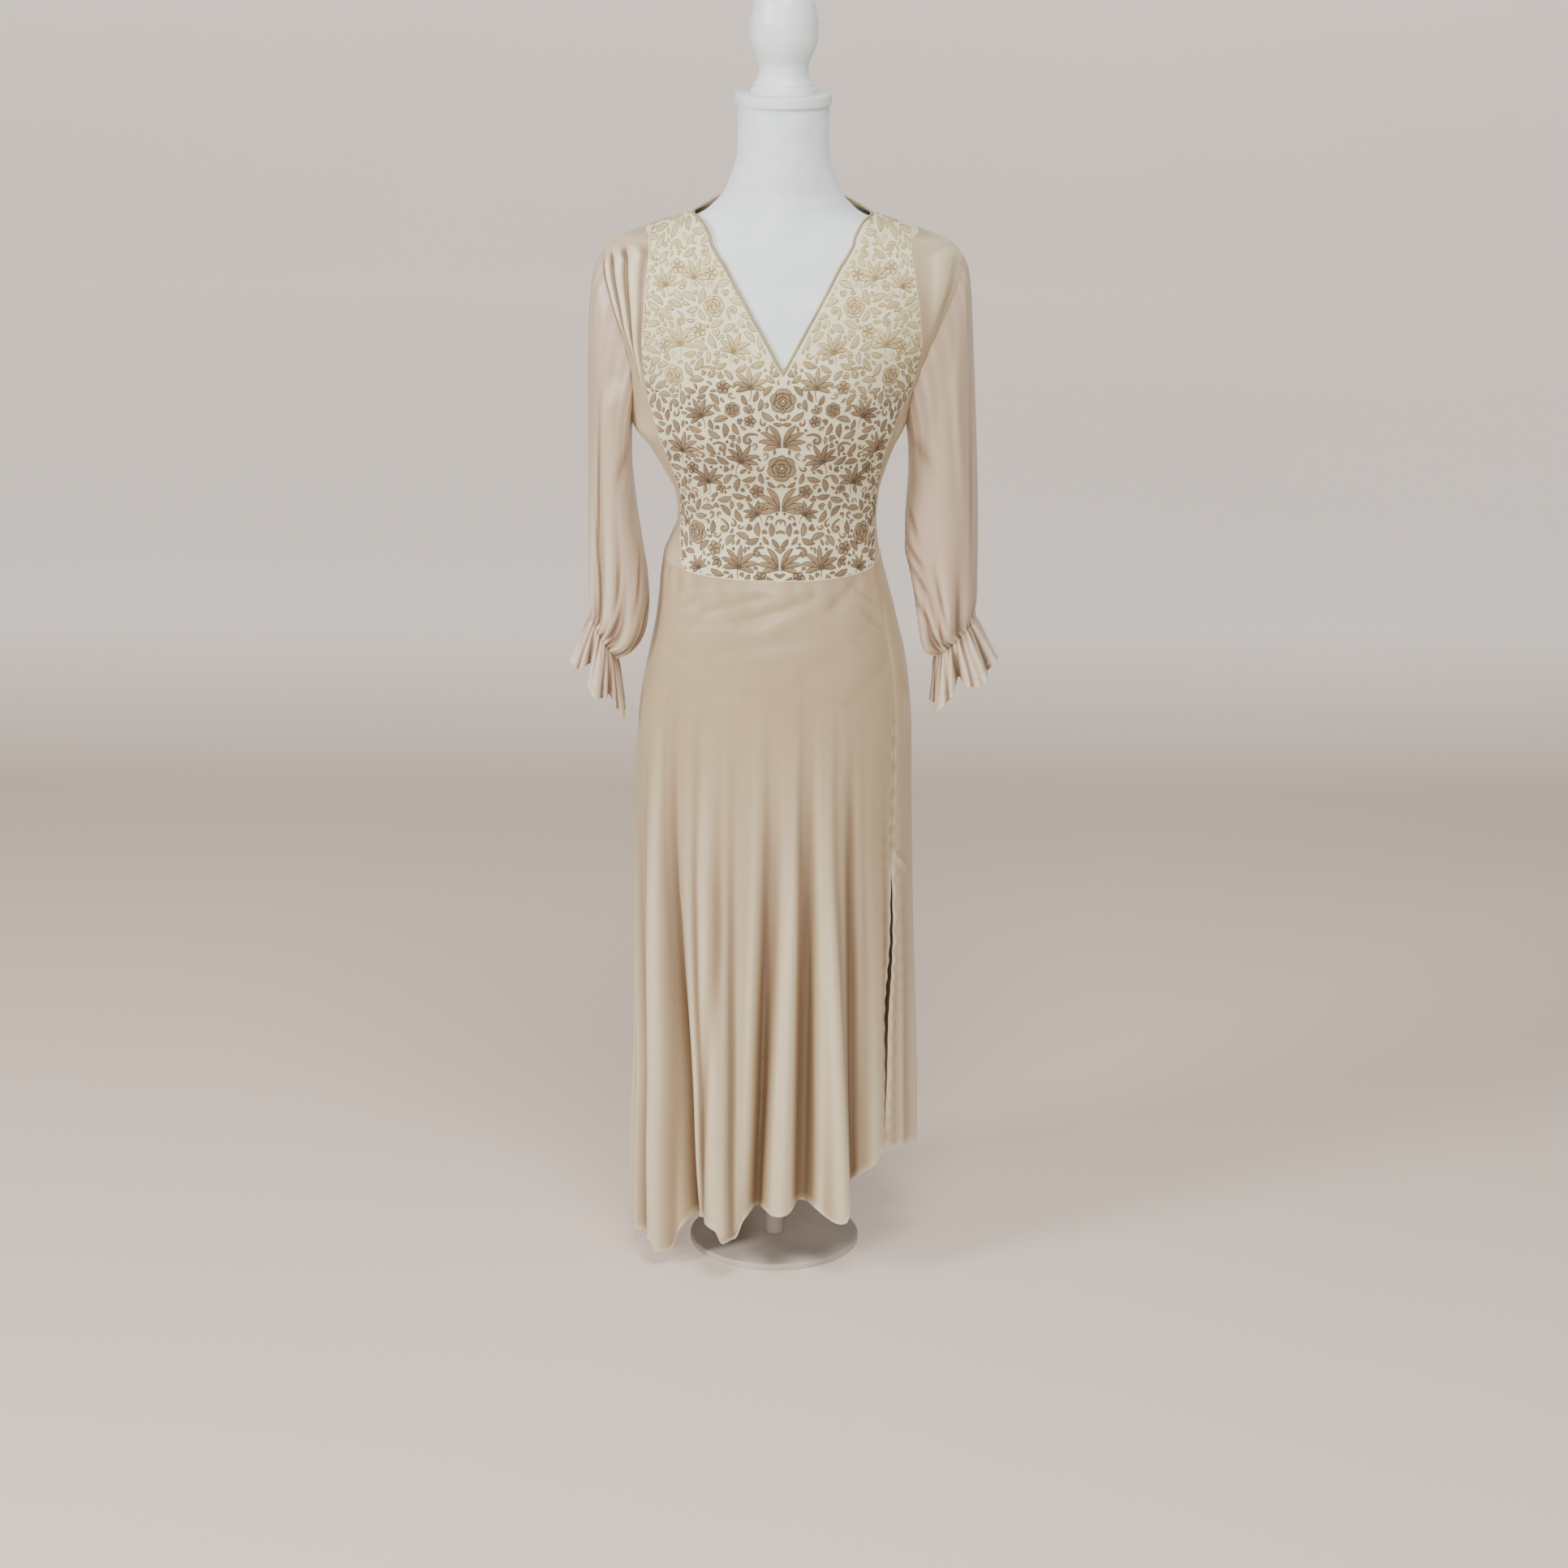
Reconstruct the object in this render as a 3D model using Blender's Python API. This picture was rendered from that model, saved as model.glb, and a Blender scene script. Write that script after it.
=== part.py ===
"""An embroidered long dress with gathered sleeves, worn by a limbless dress form on a pole and a round base."""
import math
from collections import namedtuple

import bpy
import numpy as np

MM = 0.001

# cloth, seams and form, in millimetres
CLOTH = 1.6
SEAM_GAP = 0.34
CUFF_GAP = 0.6
FORM_INSET = 4.0
NECK_EASE = 3.6
MITRE_LIMIT = 2.6

# dress form
FORM_BOTTOM = 640.0
NECK_TOP = 1508.6
CAP_RADIUS = 59.7
CAP_THICK = 13.0
POLE_RADIUS = 12.5
FLANGE_RADIUS = 34.0
FLANGE_THICK = 6.0
BASE_RADIUS = 112.0
BASE_THICK = 9.0

# bodice landmarks
WAIST_SIDE = 944.0
WAIST_DIP = 15.0
V_POINT_X = 3.0
V_POINT_HEIGHT = 1196.0
NECK_POINT_X = 106.0
NECK_POINT_HEIGHT = 1378.0
BACK_NECK_HEIGHT = 1396.0
UNDERARM = 1112.0
SHOULDER_TIP = 1327.0
ARMHOLE_FRONT_TURN = 23.0
ARMHOLE_BACK_TURN = 27.0

# grid counts
LOW_ROWS = 6
ARM_ROWS = 12
STRAP_COLUMNS = 5
BACK_STRIP = 0.76
BACK_MIDDLE = 60.0
SIDE_COLUMNS = {"left": 8, "right": 5}
BACK_NECK_COLUMNS = 6
SKIRT_FRONT_COLUMNS = 54
SKIRT_BACK_COLUMNS = 42
FORM_COLUMNS = 22
TURNED_COLUMNS = 18
RUFFLE_STEPS = 3

# piping
PIPING_WIDE = 3.6
PIPING_THICK = 2.8

Section = namedtuple("Section", "height left right front back square form")
BODY = [
    Section(640, 154, 154, 97, 104, 2.2, 150),
    Section(700, 163, 163, 109, 116, 2.2, 159),
    Section(760, 164, 164, 113, 118, 2.2, 160),
    Section(830, 156, 156, 109, 113, 2.2, 152),
    Section(890, 142, 142, 102, 101, 2.2, 136),
    Section(929, 149, 131, 101, 97, 2.2, 124),
    Section(946, 146, 127, 100, 95, 2.25, 120),
    Section(962, 139, 124, 99, 93, 2.25, 117),
    Section(990, 129, 122, 98, 90, 2.25, 115),
    Section(1022, 132, 124, 102, 92, 2.3, 117),
    Section(1053, 147, 132, 110, 98, 2.3, 124),
    Section(1086, 167, 144, 122, 105, 2.3, 134),
    Section(1112, 186, 157, 130, 109, 2.3, 143),
    Section(1150, 192, 168, 136, 113, 2.3, 152),
    Section(1180, 197, 180, 138, 115, 2.3, 161),
    Section(1206, 204, 192, 133, 116, 2.3, 171),
    Section(1260, 222, 217, 116, 115, 2.2, 192),
    Section(1300, 228, 227, 99, 108, 2.1, 211),
    Section(1327, 222, 222, 87, 98, 2.0, 219),
    Section(1344, 204, 204, 79, 90, 1.9, 204),
    Section(1355, 175, 175, 74, 84, 1.8, 175),
    Section(1366, 144, 144, 70, 78, 1.75, 144),
    Section(1376, 115, 115, 67, 73, 1.7, 115),
    Section(1384, 99, 99, 65, 69.5, 1.7, 99),
    Section(1392, 90, 90, 63.5, 67, 1.8, 90),
    Section(1408, 76, 76, 61.5, 63.5, 1.9, 76),
    Section(1429, 65.5, 65.5, 60.3, 61, 2.0, 65.5),
    Section(1450, 60.5, 60.5, 60, 60.3, 2.0, 60.5),
    Section(1480, 60, 60, 60, 60, 2.0, 60),
    Section(1512, 60.5, 60.5, 60.5, 60.5, 2.0, 60.5),
]
FORM_HEIGHTS = [
    646, 690, 745, 800, 860, 910, 960, 1000, 1045, 1090, 1135, 1180, 1225, 1265, 1298, 1320,
    1334, 1344, 1353, 1362, 1371, 1379, 1387, 1397, 1412, 1432, 1465,
]

Edge = namedtuple("Edge", "height left right")
PANEL_EDGE = [
    Edge(926, 120, 120),
    Edge(957, 124, 119.5),
    Edge(990, 125, 119),
    Edge(1022, 125, 120.5),
    Edge(1053, 131, 124),
    Edge(1084, 142, 129),
    Edge(1112, 151, 138),
    Edge(1139, 159, 147),
    Edge(1166, 166, 160),
    Edge(1196, 170, 168),
    Edge(1222, 172, 173),
    Edge(1250, 171, 172),
    Edge(1300, 167, 165),
    Edge(1336, 164, 160),
    Edge(1359, 164, 159),
]
PANEL_ROWS = [
    926, 957, 990, 1022, 1053, 1084, 1112, 1124, 1140, 1158, 1177, 1196, 1221, 1247, 1274, 1301, 1327, 1348, 1359,
]
NECK_ROWS = [1196, 1230, 1264, 1296, 1325, 1350, 1370, 1378]

Pleat = namedtuple("Pleat", "across height width top foot")
SIDE_PLEATS = {
    "left": [Pleat(0.22, 5.0, 0.10, 1330, 1160), Pleat(0.50, 6.0, 0.11, 1322, 1190), Pleat(0.78, 5.0, 0.10, 1312, 1215)],
    "right": [Pleat(0.45, 2.5, 0.20, 1326, 1230)],
}

SleeveRing = namedtuple("SleeveRing", "outer_x outer_z inner_x inner_z depth mid_y")
SLEEVE = {
    "right": [
        SleeveRing(222, 1327, 157, 1112, 62, 2),
        SleeveRing(231, 1310, 160, 1084, 63, 2),
        SleeveRing(236, 1277, 161, 1056, 63, 2),
        SleeveRing(239, 1226, 160, 1024, 63, 1),
        SleeveRing(243, 1156, 158, 988, 62, 0),
        SleeveRing(247, 1078, 158, 952, 60, -2),
        SleeveRing(250, 1004, 164, 922, 58, -4),
        SleeveRing(251, 944, 170, 890, 56, -6),
        SleeveRing(251, 906, 175, 858, 53, -7),
        SleeveRing(250, 882, 180, 832, 47, -8),
        SleeveRing(248, 869, 189, 817, 39, -8),
        SleeveRing(249, 861, 199, 812, 33, -8),
    ],
    "left": [
        SleeveRing(222, 1327, 186, 1112, 62, 2),
        SleeveRing(232, 1308, 188, 1080, 63, 2),
        SleeveRing(238, 1274, 187, 1050, 63, 2),
        SleeveRing(241, 1224, 183, 1016, 63, 1),
        SleeveRing(242, 1156, 178, 982, 62, 0),
        SleeveRing(242, 1080, 172, 946, 60, -2),
        SleeveRing(242, 1008, 167, 914, 58, -4),
        SleeveRing(242, 946, 165, 882, 56, -6),
        SleeveRing(242, 908, 168, 850, 53, -7),
        SleeveRing(241, 884, 178, 824, 47, -8),
        SleeveRing(239, 871, 192, 810, 39, -8),
        SleeveRing(239, 861, 206, 805, 33, -8),
    ],
}

# turn runs from the outer side (0) over the front (90) and the inner side (180) to the back (270)
TubeFold = namedtuple("TubeFold", "turn height width start")
SLEEVE_FOLDS = {
    "left": [
        TubeFold(28, 3.5, 12, 0.10),
        TubeFold(53, -7.0, 9, 0.25),
        TubeFold(72, 3.5, 10, 0.35),
        TubeFold(93, -6.0, 9, 0.30),
        TubeFold(124, 4.5, 15, 0.30),
        TubeFold(160, -3.5, 12, 0.55),
        TubeFold(212, -5.0, 11, 0.40),
        TubeFold(245, 4.0, 13, 0.30),
        TubeFold(278, -6.0, 10, 0.30),
        TubeFold(318, -4.5, 11, 0.45),
    ],
    "right": [
        TubeFold(24, -3.5, 11, 0.45),
        TubeFold(48, 3.5, 11, 0.40),
        TubeFold(70, -5.0, 9, 0.50),
        TubeFold(96, 3.0, 11, 0.35),
        TubeFold(122, -6.0, 10, 0.55),
        TubeFold(150, 4.5, 12, 0.30),
        TubeFold(178, -5.0, 10, 0.35),
        TubeFold(222, -5.0, 11, 0.35),
        TubeFold(262, 4.0, 14, 0.30),
        TubeFold(300, -6.0, 11, 0.35),
        TubeFold(336, 3.0, 12, 0.45),
    ],
}
GATHER_COUNT = 12
GATHER_DEPTH = 1.6

Ruffle = namedtuple("Ruffle", "outer_x outer_z inner_x inner_z depth")
RUFFLE = {"right": Ruffle(275, 806, 193, 750, 50), "left": Ruffle(262, 804, 194, 739, 50)}
RUFFLE_FOLDS = {
    "right": [
        TubeFold(18, 8.0, 24, 0),
        TubeFold(62, 7.0, 18, 0),
        TubeFold(96, -17.0, 13, 0),
        TubeFold(132, 9.0, 20, 0),
        TubeFold(176, -9.0, 15, 0),
        TubeFold(212, 8.0, 18, 0),
        TubeFold(248, -14.0, 14, 0),
        TubeFold(286, 9.0, 18, 0),
        TubeFold(328, -11.0, 13, 0),
    ],
    "left": [
        TubeFold(22, 7.0, 20, 0),
        TubeFold(55, -13.0, 13, 0),
        TubeFold(84, 10.0, 16, 0),
        TubeFold(116, -8.0, 11, 0),
        TubeFold(146, 8.0, 16, 0),
        TubeFold(186, -10.0, 14, 0),
        TubeFold(226, 9.0, 18, 0),
        TubeFold(264, -13.0, 14, 0),
        TubeFold(300, 9.0, 17, 0),
        TubeFold(336, -9.0, 13, 0),
    ],
}

SkirtSection = namedtuple("SkirtSection", "height left right front back square")
SKIRT = [
    SkirtSection(0, 185, 186, 140, 150, 2.1),
    SkirtSection(140, 184, 185, 139, 149, 2.1),
    SkirtSection(260, 181, 182, 137, 146, 2.1),
    SkirtSection(430, 184, 179, 135, 142, 2.1),
    SkirtSection(590, 185, 174, 131, 137, 2.1),
    SkirtSection(660, 183, 172, 128, 134, 2.1),
    SkirtSection(720, 180, 171, 126, 131, 2.15),
    SkirtSection(750, 177, 169, 125, 129, 2.15),
    SkirtSection(807, 167, 162, 122, 124, 2.2),
    SkirtSection(858, 157, 150, 116, 115, 2.2),
    SkirtSection(890, 153, 142, 110, 107, 2.2),
    SkirtSection(915, 151, 135, 105, 100, 2.2),
    SkirtSection(929, 149, 131, 101, 97, 2.2),
    SkirtSection(950, 146, 127, 100, 95, 2.25),
]
SKIRT_ROWS = [0, 0.02, 0.05, 0.09, 0.14, 0.21, 0.31, 0.44, 0.58, 0.72, 0.86, 1.0]

# right side seam and slit line, and the hem, by the distance across the front
SeamPoint = namedtuple("SeamPoint", "height x")
RIGHT_SEAM = [
    SeamPoint(120, 142),
    SeamPoint(260, 145),
    SeamPoint(340, 144),
    SeamPoint(460, 148),
    SeamPoint(584, 147),
    SeamPoint(660, 148),
    SeamPoint(739, 148),
    SeamPoint(804, 143),
    SeamPoint(857, 135),
    SeamPoint(919, 126),
    SeamPoint(946, 122),
]
SLIT_TOP = 556.0
SLIT_WIDTH = 6.0
HemPoint = namedtuple("HemPoint", "turn height")
HEM = [
    HemPoint(-180, 78),
    HemPoint(-140, 40),
    HemPoint(-112, 16),
    HemPoint(-90, 9),
    HemPoint(-70, 11),
    HemPoint(-50, 17),
    HemPoint(-38, 40),
    HemPoint(-20, 68),
    HemPoint(-6, 86),
    HemPoint(6, 92),
    HemPoint(14, 92),
    HemPoint(27, 84),
    HemPoint(33, 98),
    HemPoint(42, 122),
    HemPoint(54, 142),
    HemPoint(70, 148),
    HemPoint(90, 142),
    HemPoint(115, 128),
    HemPoint(145, 106),
    HemPoint(180, 78),
]

# folds of the skirt by turn from the front centre, at mid height and at the hem
SkirtFold = namedtuple("SkirtFold", "turn hem_turn height width start")
SKIRT_FOLDS = [
    SkirtFold(-72, -72, -10, 4.5, 700),
    SkirtFold(-58, -53, 20, 6.5, 790),
    SkirtFold(-47, -38, -42, 5.5, 800),
    SkirtFold(-37, -31, 8, 4.5, 760),
    SkirtFold(-28, -22, 24, 5.5, 800),
    SkirtFold(-23.5, -31, -10, 3.5, 700),
    SkirtFold(-12, -14, 12, 6.0, 740),
    SkirtFold(-1.5, -7, -16, 4.0, 690),
    SkirtFold(5.5, 2.5, 18, 5.0, 780),
    SkirtFold(12.5, 11, -18, 4.0, 760),
    SkirtFold(20, 26, 30, 6.5, 800),
    SkirtFold(31, 34, -22, 3.6, 760),
    SkirtFold(44, 44, 6, 6.5, 620),
    SkirtFold(76, 76, 6, 8.0, 640),
    SkirtFold(98, 98, -16, 6.5, 700),
    SkirtFold(113, 114, 22, 7.5, 780),
    SkirtFold(128, 129, -28, 6.0, 760),
    SkirtFold(143, 143, 20, 7.0, 800),
    SkirtFold(157, 158, -24, 5.5, 740),
    SkirtFold(170, 170, 22, 6.5, 790),
    SkirtFold(184, 183, -28, 6.0, 760),
    SkirtFold(198, 198, 24, 7.0, 800),
    SkirtFold(212, 213, -26, 6.0, 730),
    SkirtFold(226, 226, 20, 7.0, 780),
    SkirtFold(240, 240, -24, 6.0, 750),
    SkirtFold(254, 253, 18, 7.0, 760),
]
DragFold = namedtuple("DragFold", "turn_from height_from turn_to height_to depth width")
DRAG_FOLDS = [
    DragFold(-34, 893, -12, 909, 3.5, 7),
    DragFold(-16, 880, 12, 912, 4.0, 8),
    DragFold(26, 900, 44, 925, 3.0, 6),
    DragFold(-52, 917, -36, 922, 2.5, 5),
]

MATERIALS = {
    "satin": ((0.58, 0.47, 0.34), 0.0, 0.38),
    "embroidered cloth": ((0.72, 0.64, 0.46), 0.0, 0.7),
    "piping": ((0.36, 0.26, 0.17), 0.0, 0.6),
    "jersey cover": ((0.78, 0.84, 0.87), 0.0, 0.85),
    "painted wood": ((0.80, 0.85, 0.88), 0.0, 0.4),
    "painted steel": ((0.75, 0.73, 0.70), 0.0, 0.45),
}


def clear_scene():
    for item in list(bpy.data.objects):
        bpy.data.objects.remove(item, do_unlink=True)


def make_material(name):
    colour, metallic, roughness = MATERIALS[name]
    material = bpy.data.materials.get(name)
    if material is None:
        material = bpy.data.materials.new(name)
        material.use_nodes = True
        shader = material.node_tree.nodes["Principled BSDF"]
        shader.inputs["Base Color"].default_value = (*colour, 1.0)
        shader.inputs["Metallic"].default_value = metallic
        shader.inputs["Roughness"].default_value = roughness
    return material


def unit(vector):
    length = math.sqrt(float(np.dot(vector, vector)))
    return vector / max(length, 1e-9)


def smooth(rows, field, at):
    """Value of one column at a position along the first column, by a cubic through the rows."""
    keys = [row[0] for row in rows]
    values = [getattr(row, field) for row in rows]
    last = len(rows) - 1
    at = min(max(at, keys[0]), keys[last])
    low = max(index for index in range(last) if keys[index] <= at)

    def slope(index):
        if index in (0, last):
            return (values[min(index + 1, last)] - values[max(index - 1, 0)]) / (
                keys[min(index + 1, last)] - keys[max(index - 1, 0)])
        before = (values[index] - values[index - 1]) / (keys[index] - keys[index - 1])
        after = (values[index + 1] - values[index]) / (keys[index + 1] - keys[index])
        if before * after <= 0:
            return 0.0
        return 2.0 * before * after / (before + after)

    step = keys[low + 1] - keys[low]
    part = (at - keys[low]) / step
    return (
        values[low] * (1 + 2 * part) * (1 - part) ** 2
        + slope(low) * step * part * (1 - part) ** 2
        + values[low + 1] * part ** 2 * (3 - 2 * part)
        + slope(low + 1) * step * part ** 2 * (part - 1)
    )


def blend(value):
    value = min(max(value, 0.0), 1.0)
    return value * value * (3 - 2 * value)


def oval(turn, half, depth, square):
    angle = math.radians(turn)
    across = math.sin(angle)
    along = math.cos(angle)
    power = 2.0 / square
    x = half * math.copysign(abs(across) ** power, across)
    y = -depth * math.copysign(abs(along) ** power, along)
    return x, y


def body_point(turn, height, form=False):
    side = "right" if math.sin(math.radians(turn)) >= 0 else "left"
    face = "front" if math.cos(math.radians(turn)) >= 0 else "back"
    half = smooth(BODY, "form" if form else side, height)
    x, y = oval(turn, half, smooth(BODY, face, height), smooth(BODY, "square", height))
    return np.array((x, y, height))


def surface_normal(point_at, turn, height, turn_step=1.0, height_step=1.5):
    around = point_at(turn + turn_step, height) - point_at(turn - turn_step, height)
    upward = point_at(turn, height + height_step) - point_at(turn, height - height_step)
    return unit(np.cross(around, upward))


def body_normal(turn, height, form=False):
    return surface_normal(lambda t, h: body_point(t, h, form), turn, height)


def turn_at(x, height):
    """Turn of the front half where the body is at x."""
    half = smooth(BODY, "right" if x >= 0 else "left", height)
    ratio = min(abs(x) / half, 1.0)
    return math.copysign(math.degrees(math.asin(ratio ** (smooth(BODY, "square", height) / 2))), x)


def waist_height(turn):
    return WAIST_SIDE - WAIST_DIP * max(0.0, math.cos(math.radians(turn))) ** 0.8


def side_guide(side, face):
    """Side seam and armhole edge as turn and height, waist to shoulder tip."""
    sign = 1 if side == "right" else -1
    guide = []
    for row in range(LOW_ROWS):
        share = row / LOW_ROWS
        guide.append((sign * 90.0, WAIST_SIDE + (UNDERARM - WAIST_SIDE) * share))
    middle = (UNDERARM + SHOULDER_TIP) / 2
    reach = (SHOULDER_TIP - UNDERARM) / 2
    swing = -ARMHOLE_FRONT_TURN if face == "front" else ARMHOLE_BACK_TURN
    for row in range(ARM_ROWS + 1):
        angle = math.pi * (1 - row / ARM_ROWS)
        guide.append((sign * (90.0 + swing * math.sin(angle)), middle + reach * math.cos(angle)))
    return guide


def panel_guide(side, face):
    sign = 1 if side == "right" else -1
    guide = []
    last = len(PANEL_ROWS) - 1
    for row, height in enumerate(PANEL_ROWS):
        x = smooth(PANEL_EDGE, side, height)
        if face == "back":
            x *= BACK_STRIP + (1.0 - BACK_STRIP) * blend((row - 11) / (last - 11))
        turn = abs(turn_at(sign * x, height))
        if row == 0:
            height = waist_height(turn)
        if row == len(PANEL_ROWS) - 1:
            turn = 90.0
        guide.append((sign * (turn if face == "front" else 180.0 - turn), height))
    if face == "back":
        guide[0] = (guide[0][0], WAIST_SIDE)
    return guide


def neck_guide(side):
    sign = 1 if side == "right" else -1
    guide = []
    for height in NECK_ROWS:
        share = (height - V_POINT_HEIGHT) / (NECK_POINT_HEIGHT - V_POINT_HEIGHT)
        x = V_POINT_X + (sign * NECK_POINT_X - V_POINT_X) * share
        guide.append((turn_at(x, height), height))
    guide[-1] = (sign * 90.0, NECK_POINT_HEIGHT)
    return guide


def centre_guide():
    guide = []
    for row in range(len(PANEL_ROWS) - len(NECK_ROWS) + 1):
        x = V_POINT_X * row / (len(PANEL_ROWS) - len(NECK_ROWS))
        height = PANEL_ROWS[row] if row else waist_height(0)
        guide.append((turn_at(x, height), height))
    return guide


def back_neck_guide(side):
    sign = 1 if side == "right" else -1
    guide = []
    low = len(PANEL_ROWS) - len(NECK_ROWS)
    for row in range(len(PANEL_ROWS)):
        height = PANEL_ROWS[row] if row < low else NECK_ROWS[row - low]
        if row == 0:
            height = WAIST_SIDE
        x = BACK_MIDDLE + (NECK_POINT_X - BACK_MIDDLE) * row / (len(PANEL_ROWS) - 1)
        turn = 90.0 if row == len(PANEL_ROWS) - 1 else 180.0 - abs(turn_at(sign * x, height))
        guide.append((sign * turn, height))
    return guide


def strip(first, second, columns, arch=0.0):
    """Rows of turn and height between two guides; arch lifts the middle of the upper rows."""
    rows = []
    last = len(first) - 1
    for index, (a, b) in enumerate(zip(first, second)):
        row = []
        for column in range(columns + 1):
            share = column / columns
            lift = arch * (index / last) ** 4 * 4 * share * (1 - share)
            row.append((a[0] + (b[0] - a[0]) * share, a[1] + (b[1] - a[1]) * share + lift))
        rows.append(row)
    return rows


def join_strips(strips):
    rows = []
    for parts in zip(*strips):
        row = list(parts[0])
        for part in parts[1:]:
            row.extend(part[1:])
        rows.append(row)
    return rows


def mitre(first, second):
    middle = first + second
    return middle / max(1.0 + float(np.dot(first, second)), 2.0 / MITRE_LIMIT ** 2)


def build_mesh(name, points, faces, material, smooth_angle=40.0):
    mesh = bpy.data.meshes.new(name)
    mesh.from_pydata([tuple(float(value) * MM for value in point) for point in points], [], faces)
    mesh.materials.append(make_material(material))
    mesh.validate()
    item = bpy.data.objects.new(name, mesh)
    bpy.context.scene.collection.objects.link(item)
    bpy.ops.object.select_all(action="DESELECT")
    item.select_set(True)
    bpy.context.view_layer.objects.active = item
    bpy.ops.object.mode_set(mode="EDIT")
    bpy.ops.mesh.select_all(action="SELECT")
    bpy.ops.mesh.normals_make_consistent(inside=False)
    bpy.ops.object.mode_set(mode="OBJECT")
    mesh.shade_smooth()
    mesh.set_sharp_from_angle(angle=math.radians(smooth_angle))
    item.select_set(False)
    return item


def wall(name, outer, offsets, quads, material):
    """Closed wall of cloth from outer points, the way inward at each point, and the outer quads."""
    count = len(outer)
    points = list(outer) + [point - CLOTH * offset for point, offset in zip(outer, offsets)]
    faces = []
    used = {}
    for a, b, c, d in quads:
        for face in ((a, b, c), (a, c, d)):
            faces.append(face)
            faces.append(tuple(count + index for index in reversed(face)))
        for edge in ((a, b), (b, c), (c, d), (d, a)):
            used[edge] = True
    for a, b in used:
        if (b, a) not in used:
            faces.append((b, a, a + count))
            faces.append((b, a + count, b + count))
    return build_mesh(name, points, faces, material)


def grid_quads(rows, columns, closed=False, start=0):
    quads = []
    width = columns if closed else columns + 1
    for row in range(rows):
        for column in range(columns):
            after = (column + 1) % width
            a = start + row * width + column
            b = start + row * width + after
            quads.append((a, b, b + width, a + width))
    return quads


def trim(point, inner, along, offset, gap=SEAM_GAP):
    """Move a seam point back from the seam by half of the gap, along the surface."""
    direction = unit(inner - point)
    tangent = unit(along)
    normal = unit(offset - np.dot(offset, tangent) * tangent)
    direction = direction - np.dot(direction, tangent) * tangent
    direction = direction - np.dot(direction, normal) * normal
    return gap / 2 * unit(direction)


def trim_grid(points, offsets, sides):
    """Points of a grid moved back along the named sides."""
    rows = len(points)
    columns = len(points[0])
    moved = [[point.copy() for point in row] for row in points]
    for side in sides:
        if side in ("bottom", "top"):
            row = 0 if side == "bottom" else rows - 1
            inner = 1 if side == "bottom" else rows - 2
            for column in range(columns):
                along = points[row][min(column + 1, columns - 1)] - points[row][max(column - 1, 0)]
                moved[row][column] += trim(points[row][column], points[inner][column], along, offsets[row][column])
        else:
            column = 0 if side == "first" else columns - 1
            inner = 1 if side == "first" else columns - 2
            for row in range(rows):
                along = points[min(row + 1, rows - 1)][column] - points[max(row - 1, 0)][column]
                moved[row][column] += trim(points[row][column], points[row][inner], along, offsets[row][column])
    return moved


def surface_rows(rows):
    points = [[body_point(turn, height) for turn, height in row] for row in rows]
    offsets = [[body_normal(turn, height) for turn, height in row] for row in rows]
    return points, offsets


def fold_wave(folds, turn, share=None):
    total = 0.0
    for fold in folds:
        gap = (turn - fold.turn + 180.0) % 360.0 - 180.0
        grow = 1.0 if share is None else blend((share - fold.start) / (1.0 - fold.start))
        total += grow * fold.height * math.exp(-(gap / fold.width) ** 2)
    return total


def ring_frame(ring, side):
    sign = 1 if side == "right" else -1
    outer = np.array((sign * ring.outer_x, 0.0, ring.outer_z))
    inner = np.array((sign * ring.inner_x, 0.0, ring.inner_z))
    return (outer + inner) / 2, (outer - inner) / 2


def ring_point(centre, reach, depth, turn, push=0.0):
    angle = math.radians(turn)
    outward = unit(reach) * math.cos(angle) + np.array((0.0, -math.sin(angle), 0.0))
    flat = reach * math.cos(angle) + np.array((0.0, -depth * math.sin(angle), 0.0))
    return centre + flat + unit(outward) * push


def sleeve_turns():
    """Turns of the sleeve columns, two for each row of the armhole edge."""
    count = 4 * ARM_ROWS
    return [360.0 * index / count for index in range(count)]


def armhole_loop(side):
    """Armhole points from the shoulder tip over the front and the underarm, with the body's normals."""
    front = side_guide(side, "front")[LOW_ROWS:]
    back = side_guide(side, "back")[LOW_ROWS:]
    around = list(reversed(front)) + back[1:-1]
    points = [body_point(turn, height) for turn, height in around]
    normals = [body_normal(turn, height) for turn, height in around]
    full_points = []
    full_normals = []
    for index, point in enumerate(points):
        after = (index + 1) % len(points)
        full_points.extend([point, (point + points[after]) / 2])
        full_normals.extend([normals[index], normals[index] / 2 + normals[after] / 2])
    return full_points, full_normals


def sleeve_rows(side):
    rings = SLEEVE[side]
    last = len(rings) - 1
    loop, body_normals = armhole_loop(side)
    rows = []
    for index, ring in enumerate(rings):
        share = index / last
        centre, reach = ring_frame(ring, side)
        centre = centre + np.array((0.0, ring.mid_y, 0.0))
        row = []
        for column, turn in enumerate(sleeve_turns()):
            push = fold_wave(SLEEVE_FOLDS[side], turn, share) * (1.0 - blend((share - 0.86) / 0.14))
            gather = GATHER_DEPTH * math.cos(math.radians(turn * GATHER_COUNT)) * blend((share - 0.6) / 0.4)
            point = ring_point(centre, reach, ring.depth, turn, push + gather)
            if index < 4:
                start_centre, start_reach = ring_frame(rings[0], side)
                start_centre = start_centre + np.array((0.0, rings[0].mid_y, 0.0))
                start = ring_point(start_centre, start_reach, rings[0].depth, turn)
                point = point + (loop[column] - start) * (1.0 - blend(index / 4))
            row.append(point)
        rows.append(row)
    return rows, body_normals


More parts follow.
